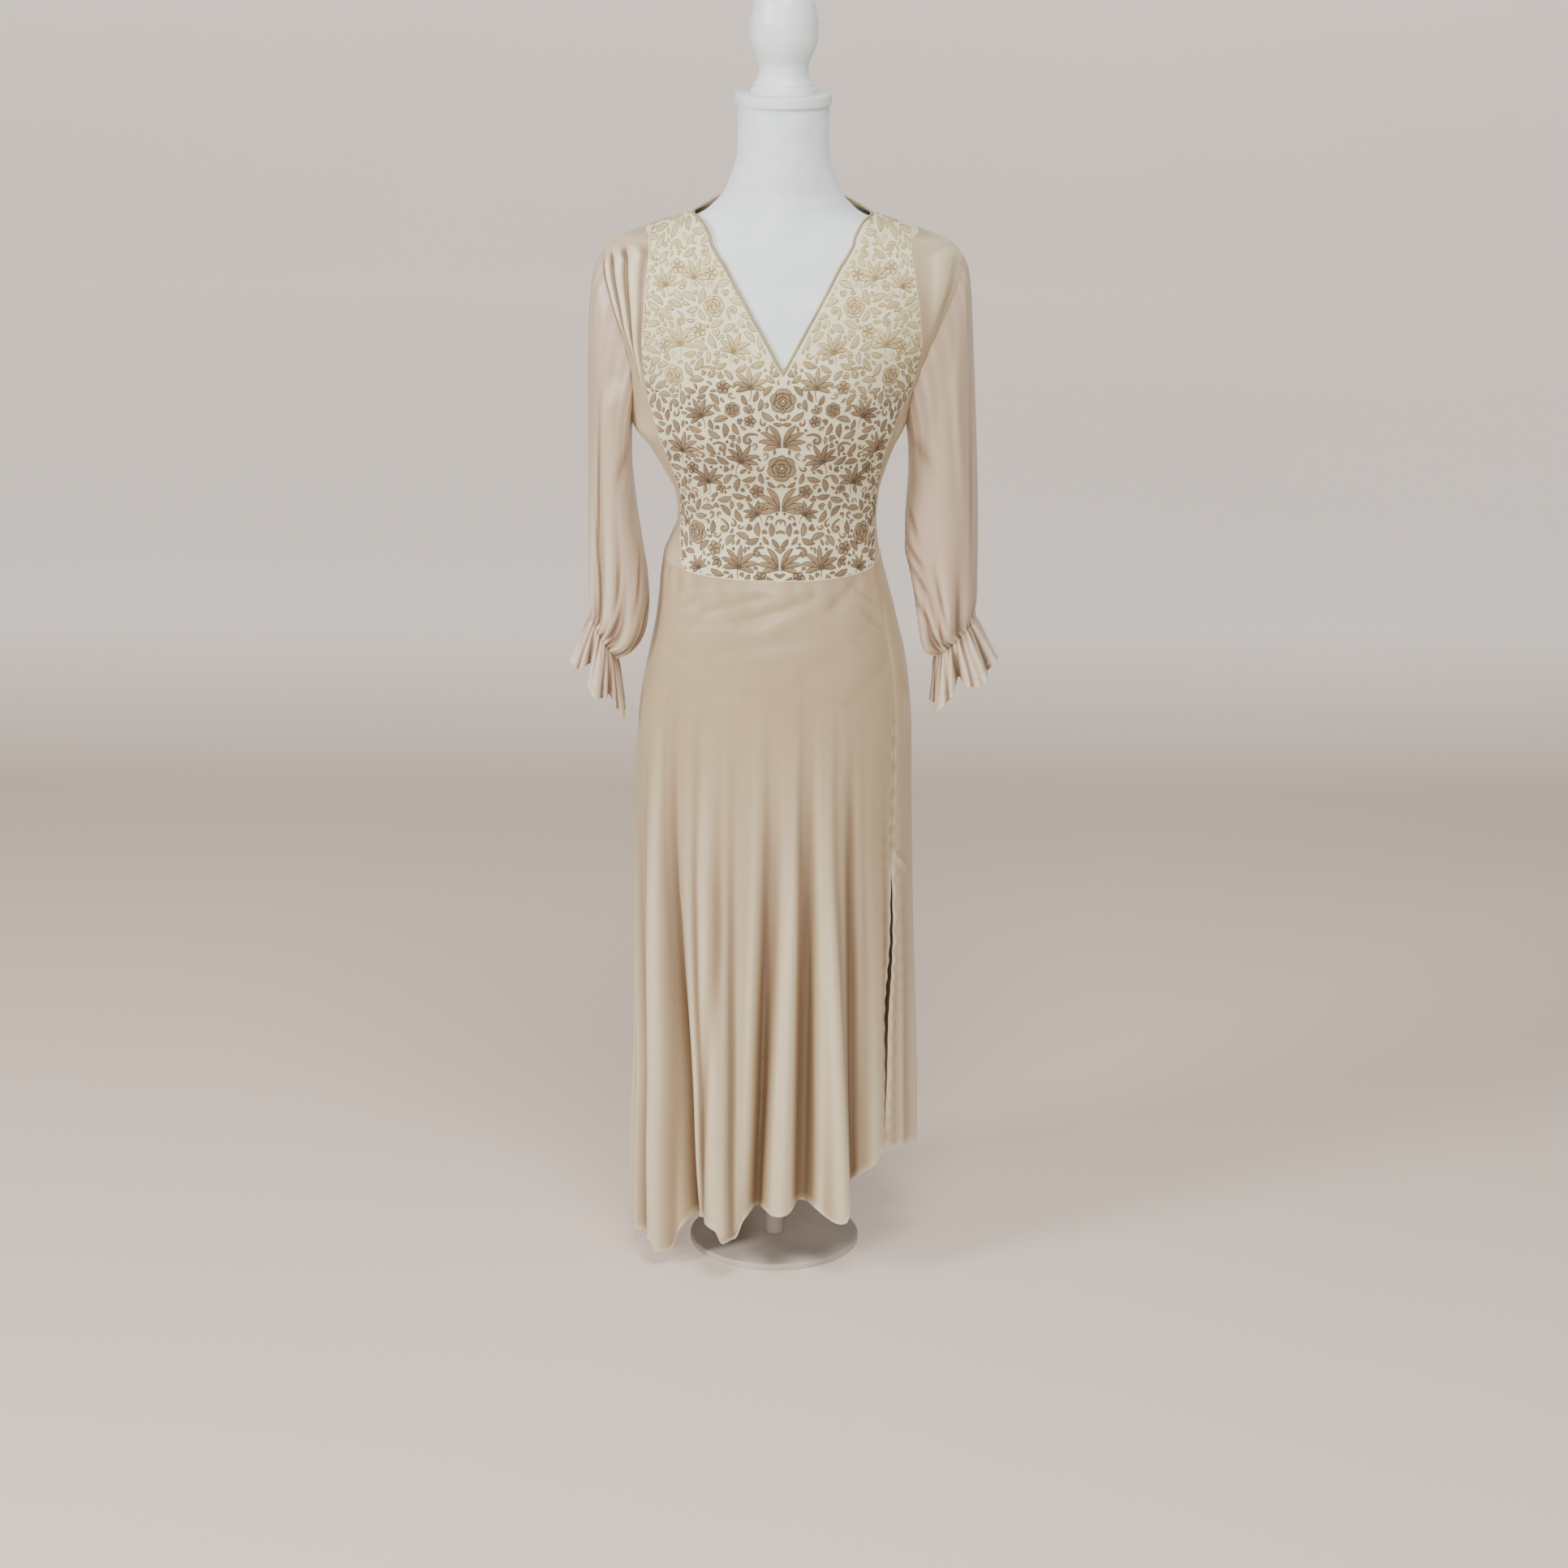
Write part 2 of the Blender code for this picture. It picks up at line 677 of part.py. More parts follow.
def ruffle_rows(side, first):
    hem = RUFFLE[side]
    rows = [first]
    centre_last, reach_last = ring_frame(hem, side)
    ring = SLEEVE[side][-1]
    centre_first, reach_first = ring_frame(ring, side)
    for step in range(1, RUFFLE_STEPS + 1):
        share = step / RUFFLE_STEPS
        ease = share ** 0.75
        centre = centre_first + (centre_last - centre_first) * share + np.array((0.0, ring.mid_y, 0.0))
        reach = reach_first + (reach_last - reach_first) * ease
        depth = ring.depth + (hem.depth - ring.depth) * ease
        row = []
        for turn in sleeve_turns():
            push = fold_wave(RUFFLE_FOLDS[side], turn) * share
            gather = GATHER_DEPTH * math.cos(math.radians(turn * GATHER_COUNT)) * (1.0 - share) ** 2
            row.append(ring_point(centre, reach, depth, turn, push + gather))
        rows.append(row)
    return rows


def tube_normals(rows, side):
    """Outward normals of a tube of rings, from its neighbours."""
    sign = 1 if side == "right" else -1
    normals = []
    last = len(rows) - 1
    count = len(rows[0])
    for index, row in enumerate(rows):
        line = []
        for column in range(count):
            around = row[(column + 1) % count] - row[(column - 1) % count]
            down = rows[min(index + 1, last)][column] - rows[max(index - 1, 0)][column]
            line.append(sign * unit(np.cross(around, down)))
        normals.append(line)
    return normals


def end_normals(rows, side, index, step):
    sign = 1 if side == "right" else -1
    count = len(rows[0])
    line = []
    for column in range(count):
        around = rows[index][(column + 1) % count] - rows[index][(column - 1) % count]
        down = rows[index + step][column] - rows[index][column]
        line.append(sign * step * unit(np.cross(around, down)))
    return line


def trim_ring(ring, inner_ring, offsets, gap=SEAM_GAP):
    count = len(ring)
    moved = []
    for column in range(count):
        along = ring[(column + 1) % count] - ring[(column - 1) % count]
        moved.append(ring[column] + trim(ring[column], inner_ring[column], along, offsets[column], gap))
    return moved


def tube(name, rows, offsets, side, material):
    count = len(rows[0])
    points = [point for row in rows for point in row]
    moves = [offset for row in offsets for offset in row]
    quads = grid_quads(len(rows) - 1, count, closed=True)
    if side == "right":
        quads = [tuple(reversed(quad)) for quad in quads]
    return wall(name, points, moves, quads, material)


def build_sleeve(side):
    rows, body_normals = sleeve_rows(side)
    ruffle = ruffle_rows(side, rows[-1])
    sleeve_offsets = tube_normals(rows, side)
    ruffle_offsets = tube_normals(ruffle, side)
    arm_normals = end_normals(rows, side, 0, 1)
    armhole = [mitre(unit(a), b) for a, b in zip(body_normals, arm_normals)]
    for column in range(1, len(armhole), 2):
        before = armhole[column - 1]
        after = armhole[(column + 1) % len(armhole)]
        armhole[column] = (before + after) / 2
    upper = end_normals(rows, side, len(rows) - 1, -1)
    lower = end_normals(ruffle, side, 0, 1)
    cuff = [mitre(a, b) for a, b in zip(upper, lower)]
    sleeve_offsets[0] = armhole
    sleeve_offsets[-1] = cuff
    ruffle_offsets[0] = cuff
    sleeve = [row[:] for row in rows]
    sleeve[0] = trim_ring(rows[0], rows[1], armhole)
    sleeve[-1] = trim_ring(rows[-1], rows[-2], cuff, CUFF_GAP)
    frill = [row[:] for row in ruffle]
    frill[0] = trim_ring(ruffle[0], ruffle[1], cuff, CUFF_GAP)
    tube("sleeve_" + side, sleeve, sleeve_offsets, side, "satin")
    tube("cuff_ruffle_" + side, frill, ruffle_offsets, side, "satin")
    return armhole


def armhole_offsets(armhole, face):
    """Seam offsets for the rows from the underarm to the shoulder tip."""
    half = 2 * ARM_ROWS
    if face == "front":
        return [armhole[half - 2 * row] for row in range(ARM_ROWS + 1)]
    return [armhole[(half + 2 * row) % len(armhole)] for row in range(ARM_ROWS + 1)]


def build_side_front(side, armhole):
    columns = SIDE_COLUMNS[side]
    rows = strip(panel_guide(side, "front"), side_guide(side, "front"), columns)
    for column, (turn, _) in enumerate(rows[0]):
        rows[0][column] = (turn, waist_height(turn))
    points, offsets = surface_rows(rows)
    for index, offset in enumerate(armhole_offsets(armhole, "front")):
        offsets[LOW_ROWS + index][columns] = offset
    shaped = [[point.copy() for point in row] for row in points]
    for row in range(1, len(rows) - 1):
        for column in range(1, columns):
            height = rows[row][column][1]
            across = column / columns
            push = 0.0
            for pleat in SIDE_PLEATS[side]:
                rise = blend((height - pleat.foot) / 60.0) * blend((pleat.top - height) / 12.0 + 1.0)
                push += pleat.height * rise * math.exp(-((across - pleat.across) / pleat.width) ** 2)
            shaped[row][column] += push * offsets[row][column]
    shaped = trim_grid(shaped, offsets, ("bottom", "top", "first", "last"))
    quads = grid_quads(len(rows) - 1, columns)
    if side == "left":
        quads = [tuple(reversed(quad)) for quad in quads]
    flat = [point for row in shaped for point in row]
    moves = [offset for row in offsets for offset in row]
    wall("dress_side_front_" + side, flat, moves, quads, "satin")


def build_front_panel():
    low = len(PANEL_ROWS) - len(NECK_ROWS)
    centre = centre_guide()
    points = []
    moves = []
    quads = []
    lookup = {}
    for side in ("left", "right"):
        edge = panel_guide(side, "front")
        inner = centre + neck_guide(side)[1:]
        rows = strip(edge, inner, STRAP_COLUMNS)
        for column, (turn, _) in enumerate(rows[0]):
            rows[0][column] = (turn, waist_height(turn))
        grid, offsets = surface_rows(rows)
        lower = trim_grid(grid, offsets, ("bottom", "top", "first"))
        upper = trim_grid(grid, offsets, ("last",))
        for row in range(len(rows)):
            for column in range(STRAP_COLUMNS + 1):
                shared = column == STRAP_COLUMNS and row <= low
                key = (row, "centre") if shared else (row, side, column)
                if key in lookup:
                    continue
                lookup[key] = len(points)
                point = lower[row][column]
                if row > low and column == STRAP_COLUMNS:
                    point = point + upper[row][column] - grid[row][column]
                points.append(point)
                moves.append(offsets[row][column])
        for row in range(len(rows) - 1):
            for column in range(STRAP_COLUMNS):
                corners = []
                for r, c in ((row, column), (row, column + 1), (row + 1, column + 1), (row + 1, column)):
                    shared = c == STRAP_COLUMNS and r <= low
                    corners.append(lookup[(r, "centre")] if shared else lookup[(r, side, c)])
                quads.append(tuple(corners) if side == "left" else tuple(reversed(corners)))
    notch = lookup[(low, "centre")]
    points[notch] = points[notch] + np.array((0.0, 0.0, -SEAM_GAP))
    wall("dress_front_panel", points, moves, quads, "embroidered cloth")


def build_back(armholes):
    strips = []
    left = [side_guide("left", "back"), panel_guide("left", "back"), back_neck_guide("left")]
    right = [back_neck_guide("right"), panel_guide("right", "back"), side_guide("right", "back")]
    left = [[(turn + 360.0, height) for turn, height in guide] for guide in left]
    strips.append(strip(right[2], right[1], SIDE_COLUMNS["right"]))
    strips.append(strip(right[1], right[0], STRAP_COLUMNS))
    strips.append(strip(right[0], left[2], BACK_NECK_COLUMNS, BACK_NECK_HEIGHT - NECK_POINT_HEIGHT))
    strips.append(strip(left[2], left[1], STRAP_COLUMNS))
    strips.append(strip(left[1], left[0], SIDE_COLUMNS["left"]))
    rows = join_strips(strips)
    points, offsets = surface_rows(rows)
    columns = len(rows[0]) - 1
    for index, offset in enumerate(armhole_offsets(armholes["right"], "back")):
        offsets[LOW_ROWS + index][0] = offset
    for index, offset in enumerate(armhole_offsets(armholes["left"], "back")):
        offsets[LOW_ROWS + index][columns] = offset
    shaped = trim_grid(points, offsets, ("bottom", "top", "first", "last"))
    flat = [point for row in shaped for point in row]
    moves = [offset for row in offsets for offset in row]
    wall("dress_back", flat, moves, grid_quads(len(rows) - 1, columns), "satin")


def cord(name, path, sideways, outward, cuts, material):
    """Closed cord of a flat oval section along a path; each end is cut by a plane given as axis and value."""
    sides = 8
    rings = []
    for point, side, out in zip(path, sideways, outward):
        ring = []
        for index in range(sides):
            angle = 2 * math.pi * index / sides
            across = PIPING_WIDE / 2 * math.cos(angle)
            high = PIPING_THICK / 2 * math.sin(angle)
            ring.append(point + across * side + high * out)
        rings.append(ring)
    for end, inner in ((0, 1), (-1, -2)):
        axis, value = cuts[0 if end == 0 else 1]
        direction = path[end] - path[inner]
        rings[end] = [
            start + direction * (value - start[axis]) / direction[axis] for start in rings[inner]
        ]
    points = [point for ring in rings for point in ring]
    faces = [tuple(range(sides))]
    for row in range(len(rings) - 1):
        for index in range(sides):
            after = (index + 1) % sides
            a = row * sides + index
            b = row * sides + after
            faces.append((a, a + sides, b + sides))
            faces.append((a, b + sides, b))
    faces.append(tuple(reversed(range((len(rings) - 1) * sides, len(rings) * sides))))
    build_mesh(name, points, faces, material)


def piping_path(guide):
    points = [body_point(turn, height) for turn, height in guide]
    normals = [body_normal(turn, height) for turn, height in guide]
    path = []
    sideways = []
    outward = []
    for index, point in enumerate(points):
        along = unit(points[min(index + 1, len(points) - 1)] - points[max(index - 1, 0)])
        out = unit(normals[index] - np.dot(normals[index], along) * along)
        side = unit(np.cross(along, out))
        sideways.append(side)
        outward.append(out)
        path.append(point - CLOTH / 2 * out)
    return path, sideways, outward


def build_piping():
    reach = PIPING_WIDE / 2 + SEAM_GAP / 2 + 0.1
    for side in ("left", "right"):
        path, sideways, outward = piping_path(neck_guide(side))
        sign = 1 if side == "left" else -1
        path = [point + sign * reach * across for point, across in zip(path, sideways)]
        cuts = ((0, V_POINT_X - sign * 0.2), (1, -SEAM_GAP / 2))
        cord("neck_piping_" + side, path, sideways, outward, cuts, "piping")
    right = back_neck_guide("right")
    left = [(turn + 360.0, height) for turn, height in back_neck_guide("left")]
    arch = BACK_NECK_HEIGHT - NECK_POINT_HEIGHT
    guide = strip([right[-1]] * 2, [left[-1]] * 2, BACK_NECK_COLUMNS, arch)[1]
    path, sideways, outward = piping_path(guide)
    path = [point - reach * across for point, across in zip(path, sideways)]
    cord("neck_binding_back", path, sideways, outward, ((1, SEAM_GAP / 2), (1, SEAM_GAP / 2)), "piping")


def skirt_shape(turn, height):
    """Point of the skirt without folds."""
    side = "right" if math.sin(math.radians(turn)) >= 0 else "left"
    face = "front" if math.cos(math.radians(turn)) >= 0 else "back"
    half = smooth(SKIRT, side, height)
    x, y = oval(turn, half, smooth(SKIRT, face, height), smooth(SKIRT, "square", height))
    return np.array((x, y, height))


def skirt_fold(turn, height, hem):
    total = 0.0
    for fold in SKIRT_FOLDS:
        down = (fold.start - height) / (fold.start - hem)
        if down <= 0:
            continue
        centre = fold.turn + (fold.hem_turn - fold.turn) * max(0.0, down * 1.6 - 0.6)
        gap = (turn - centre + 180.0) % 360.0 - 180.0
        total += fold.height * blend(down * 1.15) * math.exp(-(gap / fold.width) ** 2)
    front_turn = (turn + 180.0) % 360.0 - 180.0
    for fold in DRAG_FOLDS:
        start = np.array((fold.turn_from * 1.9, fold.height_from))
        line = np.array((fold.turn_to * 1.9, fold.height_to)) - start
        here = np.array((front_turn * 1.9, height)) - start
        share = min(max(float(np.dot(here, line) / np.dot(line, line)), 0.0), 1.0)
        away = here - share * line
        total -= fold.depth * math.exp(-float(np.dot(away, away)) / fold.width ** 2)
    return total


def skirt_point(turn, height, hem):
    base = skirt_shape(turn, height)
    normal = surface_normal(skirt_shape, turn, height)
    normal = unit(np.array((normal[0], normal[1], 0.0)))
    fade = blend((waist_height(turn) - height) / 12.0)
    return base + fade * skirt_fold(turn, height, hem) * normal


def right_seam_turn(height):
    x = smooth(RIGHT_SEAM, "x", height)
    half = smooth(SKIRT, "right", height)
    ratio = min(x / half, 1.0)
    return math.degrees(math.asin(ratio ** (smooth(SKIRT, "square", height) / 2)))


def hem_height(turn):
    turn = (turn + 180.0) % 360.0 - 180.0
    return smooth(HEM, "height", turn)


def skirt_grid(first, second, columns):
    """Rows of turn, height and hem height between two side lines; each line gives its turn at a height."""
    rows = []
    for share in SKIRT_ROWS:
        row = []
        for column in range(columns + 1):
            across = column / columns
            turn = 0.0
            height = 700.0
            for _ in range(4):
                turn = first(height) + (second(height) - first(height)) * across
                hem = hem_height(turn)
                height = waist_height(turn) + (hem - waist_height(turn)) * share
            row.append((turn, height, hem))
        rows.append(row)
    return rows


def build_skirt(name, first, second, columns, slit_column):
    rows = skirt_grid(first, second, columns)
    points = []
    offsets = []
    for index, row in enumerate(rows):
        line = []
        normals = []
        for turn, height, hem in row:
            line.append(skirt_point(turn, height, hem))
            if index == 0:
                normals.append(body_normal(turn, height))
            else:
                normals.append(surface_normal(lambda t, h: skirt_point(t, h, hem), turn, height, 0.8, 2.0))
        points.append(line)
        offsets.append(normals)
    moved = trim_grid(points, offsets, ("bottom", "first", "last"))
    inner = 1 if slit_column == 0 else slit_column - 1
    for index, row in enumerate(rows):
        height = row[slit_column][1]
        if height < SLIT_TOP:
            open_share = blend((SLIT_TOP - height) / 50.0) * (0.55 + 0.45 * math.cos(height / 46.0))
            way = unit(points[index][inner] - points[index][slit_column])
            moved[index][slit_column] += way * SLIT_WIDTH / 2 * open_share
    flat = [point for row in moved for point in row]
    moves = [offset for row in offsets for offset in row]
    quads = [tuple(reversed(quad)) for quad in grid_quads(len(rows) - 1, columns)]
    wall(name, flat, moves, quads, "satin")


def turned(name, profile, material, columns=TURNED_COLUMNS):
    """Solid of revolution about the vertical axis from radius and height pairs, closed flat at both ends."""
    points = []
    for radius, height in profile:
        for index in range(columns):
            angle = 2 * math.pi * index / columns
            points.append((radius * math.cos(angle), radius * math.sin(angle), height))
    faces = [tuple(reversed(range(columns)))]
    for row in range(len(profile) - 1):
        for index in range(columns):
            after = (index + 1) % columns
            a = row * columns + index
            b = row * columns + after
            faces.append((a, b, b + columns, a + columns))
    last = (len(profile) - 1) * columns
    faces.append(tuple(range(last, last + columns)))
    build_mesh(name, points, faces, material)


def build_form():
    points = []
    heights = [FORM_BOTTOM] + FORM_HEIGHTS + [NECK_TOP]
    for index, height in enumerate(heights):
        inset = FORM_INSET + (8.0 if index == 0 else 0.0)
        inset += NECK_EASE * blend((height - 1335) / 25.0) * blend((1425 - height) / 28.0)
        for column in range(FORM_COLUMNS):
            turn = 360.0 * column / FORM_COLUMNS
            level = min(height, NECK_TOP - 1)
            normal = body_normal(turn, level, form=True)
            if index in (0, len(heights) - 1) or height < 700 or height > 1440:
                normal = unit(np.array((normal[0], normal[1], 0.0)))
            points.append(body_point(turn, height, form=True) - inset * normal)
    faces = [tuple(range(FORM_COLUMNS))]
    for row in range(len(heights) - 1):
        for column in range(FORM_COLUMNS):
            after = (column + 1) % FORM_COLUMNS
            a = row * FORM_COLUMNS + column
            b = row * FORM_COLUMNS + after
            faces.append((a, a + FORM_COLUMNS, b + FORM_COLUMNS, b))
    last = (len(heights) - 1) * FORM_COLUMNS
    faces.append(tuple(reversed(range(last, last + FORM_COLUMNS))))
    build_mesh("form_body", points, faces, "jersey cover", 60.0)


FinialRing = namedtuple("FinialRing", "radius height")
FINIAL = [
    FinialRing(41.0, 0.0),
    FinialRing(41.0, 5.0),
    FinialRing(38.0, 8.5),
    FinialRing(37.5, 12.0),
    FinialRing(33.5, 17.0),
    FinialRing(30.5, 25.0),
    FinialRing(30.5, 33.0),
    FinialRing(34.0, 43.0),
    FinialRing(39.0, 55.0),
    FinialRing(42.0, 70.0),
    FinialRing(42.0, 84.0),
    FinialRing(39.5, 99.0),
    FinialRing(37.5, 110.0),
    FinialRing(33.0, 119.0),
    FinialRing(25.0, 127.0),
    FinialRing(14.0, 132.5),
    FinialRing(4.0, 134.5),
]


def build_stand():
    gap = SEAM_GAP
    cap_low = NECK_TOP + gap
    cap_high = cap_low + CAP_THICK
    turned("form_neck_cap", [(CAP_RADIUS - 1, cap_low), (CAP_RADIUS, cap_low + 1), (CAP_RADIUS, cap_high - 1.5),
                             (CAP_RADIUS - 1.5, cap_high)], "painted wood", 28)
    finial_low = cap_high + gap
    turned("form_finial", [(ring.radius, finial_low + ring.height) for ring in FINIAL], "painted wood")
    turned("stand_base", [(BASE_RADIUS, 0), (BASE_RADIUS, BASE_THICK - 3), (BASE_RADIUS - 3, BASE_THICK)],
           "painted steel", 30)
    pole_top = FORM_BOTTOM - gap
    turned("stand_pole", [(POLE_RADIUS, BASE_THICK + gap), (POLE_RADIUS, pole_top - FLANGE_THICK),
                          (FLANGE_RADIUS, pole_top - FLANGE_THICK + 0.01), (FLANGE_RADIUS, pole_top)],
           "painted steel", 20)


def build():
    clear_scene()
    armholes = {side: build_sleeve(side) for side in ("left", "right")}
    for side in ("left", "right"):
        build_side_front(side, armholes[side])
    build_front_panel()
    build_back(armholes)
    build_piping()
    build_skirt("skirt_front", lambda height: -90.0, right_seam_turn, SKIRT_FRONT_COLUMNS, SKIRT_FRONT_COLUMNS)
    build_skirt("skirt_back", right_seam_turn, lambda height: 270.0, SKIRT_BACK_COLUMNS, 0)
    build_form()
    build_stand()
    for item in sorted(bpy.data.objects, key=lambda entry: entry.name):
        triangles = sum(len(face.vertices) - 2 for face in item.data.polygons)
        print("piece", item.name, triangles)


build()
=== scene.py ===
import math
import random

import bpy
import numpy as np
from mathutils import Matrix
from mathutils.bvhtree import BVHTree


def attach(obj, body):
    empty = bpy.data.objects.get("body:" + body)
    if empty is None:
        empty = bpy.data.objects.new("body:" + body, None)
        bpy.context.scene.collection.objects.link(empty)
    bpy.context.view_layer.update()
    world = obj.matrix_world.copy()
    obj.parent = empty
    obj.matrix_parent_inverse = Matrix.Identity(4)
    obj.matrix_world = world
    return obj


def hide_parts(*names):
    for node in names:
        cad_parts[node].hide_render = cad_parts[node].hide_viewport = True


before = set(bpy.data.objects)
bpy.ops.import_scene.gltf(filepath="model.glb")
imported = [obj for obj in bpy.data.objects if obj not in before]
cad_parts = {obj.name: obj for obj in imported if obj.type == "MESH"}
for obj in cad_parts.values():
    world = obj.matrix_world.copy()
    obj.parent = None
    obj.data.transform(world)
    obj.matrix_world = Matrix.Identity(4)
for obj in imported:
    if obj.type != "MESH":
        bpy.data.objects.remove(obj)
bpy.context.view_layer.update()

mm = 0.001
print("stage: frame loaded")


# ---- colour and material helpers ----
def linearColour(hexText):
    values = [int(hexText[i:i + 2], 16) / 255 for i in (0, 2, 4)]
    return tuple(v / 12.92 if v <= 0.04045 else ((v + 0.055) / 1.055) ** 2.4 for v in values) + (1.0,)


def addNode(tree, kind, settings=None, links=None):
    node = tree.nodes.new(kind)
    for key, value in (settings or {}).items():
        if isinstance(key, str) and hasattr(node, key):
            setattr(node, key, value)
        else:
            node.inputs[key].default_value = value
    for key, source in (links or {}).items():
        tree.links.new(source, node.inputs[key])
    return node


def newMaterial(name, sockets):
    material = bpy.data.materials.new(name)
    material.use_nodes = True
    tree = material.node_tree
    shader = tree.nodes["Principled BSDF"]
    for key, value in sockets.items():
        shader.inputs[key].default_value = value
    coords = addNode(tree, "ShaderNodeTexCoord")
    return material, tree, shader, coords


def mixColour(tree, factor, first, second, blend="MIX"):
    node = addNode(tree, "ShaderNodeMix", {"data_type": "RGBA", "blend_type": blend})
    for index, value in ((6, first), (7, second)):
        if isinstance(value, tuple):
            node.inputs[index].default_value = value
        else:
            tree.links.new(value, node.inputs[index])
    if isinstance(factor, float):
        node.inputs[0].default_value = factor
    else:
        tree.links.new(factor, node.inputs[0])
    return node.outputs[2]


def ramp(tree, source, stops):
    node = addNode(tree, "ShaderNodeValToRGB", None, {0: source})
    elements = node.color_ramp.elements
    while len(elements) < len(stops):
        elements.new(0.5)
    for element, (place, colour) in zip(elements, stops):
        element.position = place
        element.color = colour
    return node.outputs[0]


# the darker stops of the satin are painted shade for fold valleys, the lightest stop a painted highlight on fold ridges
satinLook = {
    "base": "baa687", "shade": "9c876d", "light": "dccfb1", "deepPaintedShade": "7d6750", "cloud": 0.22, "roughness": 0.33, "sheen": 0.1,
    "weaveSize": 1400.0, "weaveBump": 0.05, "crumpleBump": 0.22,
}


def satinMaterial(name, look):  # bias-cut satin: soft gloss along the folds, painted shade in their valleys and painted highlight on their ridges
    material, tree, shader, coords = newMaterial(name, {
        "Roughness": look["roughness"], "Sheen Weight": look["sheen"], "Sheen Roughness": 0.4,
        "Specular IOR Level": 0.42, "Anisotropic": 0.35})
    shader.inputs["Sheen Tint"].default_value = linearColour("fff3dd")
    place = addNode(tree, "ShaderNodeMapping", {"Scale": (1.0, 1.0, 0.35)}, {"Vector": coords.outputs["Object"]})
    cloud = addNode(tree, "ShaderNodeTexNoise", {"Scale": 9.0, "Detail": 3.0}, {"Vector": place.outputs[0]})
    foldPaintedShade = addNode(tree, "ShaderNodeAttribute", {"attribute_name": "foldPaintedShade"})
    blend = addNode(tree, "ShaderNodeMath", {"operation": "MULTIPLY_ADD", 1: look["cloud"]}, {0: cloud.outputs[0], 2: foldPaintedShade.outputs["Fac"]})
    lowered = addNode(tree, "ShaderNodeMath", {"operation": "SUBTRACT", 1: look["cloud"] / 2}, {0: blend.outputs[0]})
    # painted shade in the fold valleys and painted highlight on the ridges, from the fold relief plus a little random
    # cloud
    colour = ramp(tree, lowered.outputs[0], [
        (0.08, linearColour(look["deepPaintedShade"])), (0.36, linearColour(look["shade"])), (0.54, linearColour(look["base"])),
        (0.9, linearColour(look["light"]))])
    slub = addNode(tree, "ShaderNodeMapping", {"Scale": (1.0, 1.0, 14.0)}, {"Vector": coords.outputs["Object"]})
    thread = addNode(tree, "ShaderNodeTexNoise", {"Scale": 160.0, "Detail": 2.0}, {"Vector": slub.outputs[0]})
    fleck = ramp(tree, thread.outputs[0], [(0.35, (0.93, 0.93, 0.93, 1)), (0.65, (1.03, 1.03, 1.03, 1))])
    tree.links.new(mixColour(tree, 1.0, colour, fleck, "MULTIPLY"), shader.inputs["Base Color"])
    weave = addNode(tree, "ShaderNodeTexNoise", {"Scale": look["weaveSize"], "Detail": 1.0},
                    {"Vector": slub.outputs[0]})
    soft = addNode(tree, "ShaderNodeTexNoise", {"Scale": 22.0, "Detail": 3.0, "Roughness": 0.55},
                   {"Vector": place.outputs[0]})
    softBump = addNode(tree, "ShaderNodeBump", {"Strength": look["crumpleBump"], "Distance": 0.004},
                       {"Height": soft.outputs[0]})
    bump = addNode(tree, "ShaderNodeBump", {"Strength": look["weaveBump"], "Distance": 0.0004},
                   {"Height": weave.outputs[0], "Normal": softBump.outputs[0]})
    tree.links.new(bump.outputs[0], shader.inputs["Normal"])
    return material


def woven(name, stops, sockets, size, strength):  # plain cloth or thread with a fine even surface
    material, tree, shader, coords = newMaterial(name, sockets)
    cloud = addNode(tree, "ShaderNodeTexNoise", {"Scale": 30.0, "Detail": 4.0}, {"Vector": coords.outputs["Object"]})
    tree.links.new(ramp(tree, cloud.outputs[0], [(p, linearColour(c)) for p, c in stops]),
                   shader.inputs["Base Color"])
    grain = addNode(tree, "ShaderNodeTexNoise", {"Scale": size, "Detail": 2.0}, {"Vector": coords.outputs["Object"]})
    bump = addNode(tree, "ShaderNodeBump", {"Strength": strength, "Distance": 0.0005}, {"Height": grain.outputs[0]})
    tree.links.new(bump.outputs[0], shader.inputs["Normal"])
    return material


def threadMaterial(name, low, high, paintedLitLow, paintedLitHigh):  # satin-stitch thread: taupe below the bust, with painted light making it pale gold above it
    material, tree, shader, coords = newMaterial(name, {
        "Roughness": 0.42, "Sheen Weight": 0.5, "Sheen Roughness": 0.35, "Specular IOR Level": 0.5})
    split = addNode(tree, "ShaderNodeSeparateXYZ", None, {0: coords.outputs["Object"]})
    drift = addNode(tree, "ShaderNodeTexNoise", {"Scale": 14.0, "Detail": 1.0}, {"Vector": coords.outputs["Object"]})
    moved = addNode(tree, "ShaderNodeMath", {"operation": "MULTIPLY_ADD", 1: 0.10}, {0: drift.outputs[0], 2: split.outputs[2]})
    # painted light: above the bust height the colour shifts to the paler lit thread colours
    height = addNode(tree, "ShaderNodeMapRange", {1: 1.215, 2: 1.275}, {0: moved.outputs[0]})
    shade = addNode(tree, "ShaderNodeAttribute", {"attribute_name": "shade"})
    body = mixColour(tree, shade.outputs["Fac"], linearColour(low), linearColour(high))
    lit = mixColour(tree, shade.outputs["Fac"], linearColour(paintedLitLow), linearColour(paintedLitHigh))
    tree.links.new(mixColour(tree, height.outputs[0], body, lit), shader.inputs["Base Color"])
    place = addNode(tree, "ShaderNodeMapping", {"Scale": (1.0, 1.0, 1.0), "Rotation": (0.0, 0.6, 0.0)},
                    {"Vector": coords.outputs["Object"]})
    stitch = addNode(tree, "ShaderNodeTexWave", {"Scale": 420.0, "Distortion": 3.0, "Detail": 1.0},
                     {"Vector": place.outputs[0]})
    bump = addNode(tree, "ShaderNodeBump", {"Strength": 0.5, "Distance": 0.0005}, {"Height": stitch.outputs[1]})
    tree.links.new(bump.outputs[0], shader.inputs["Normal"])
    return material


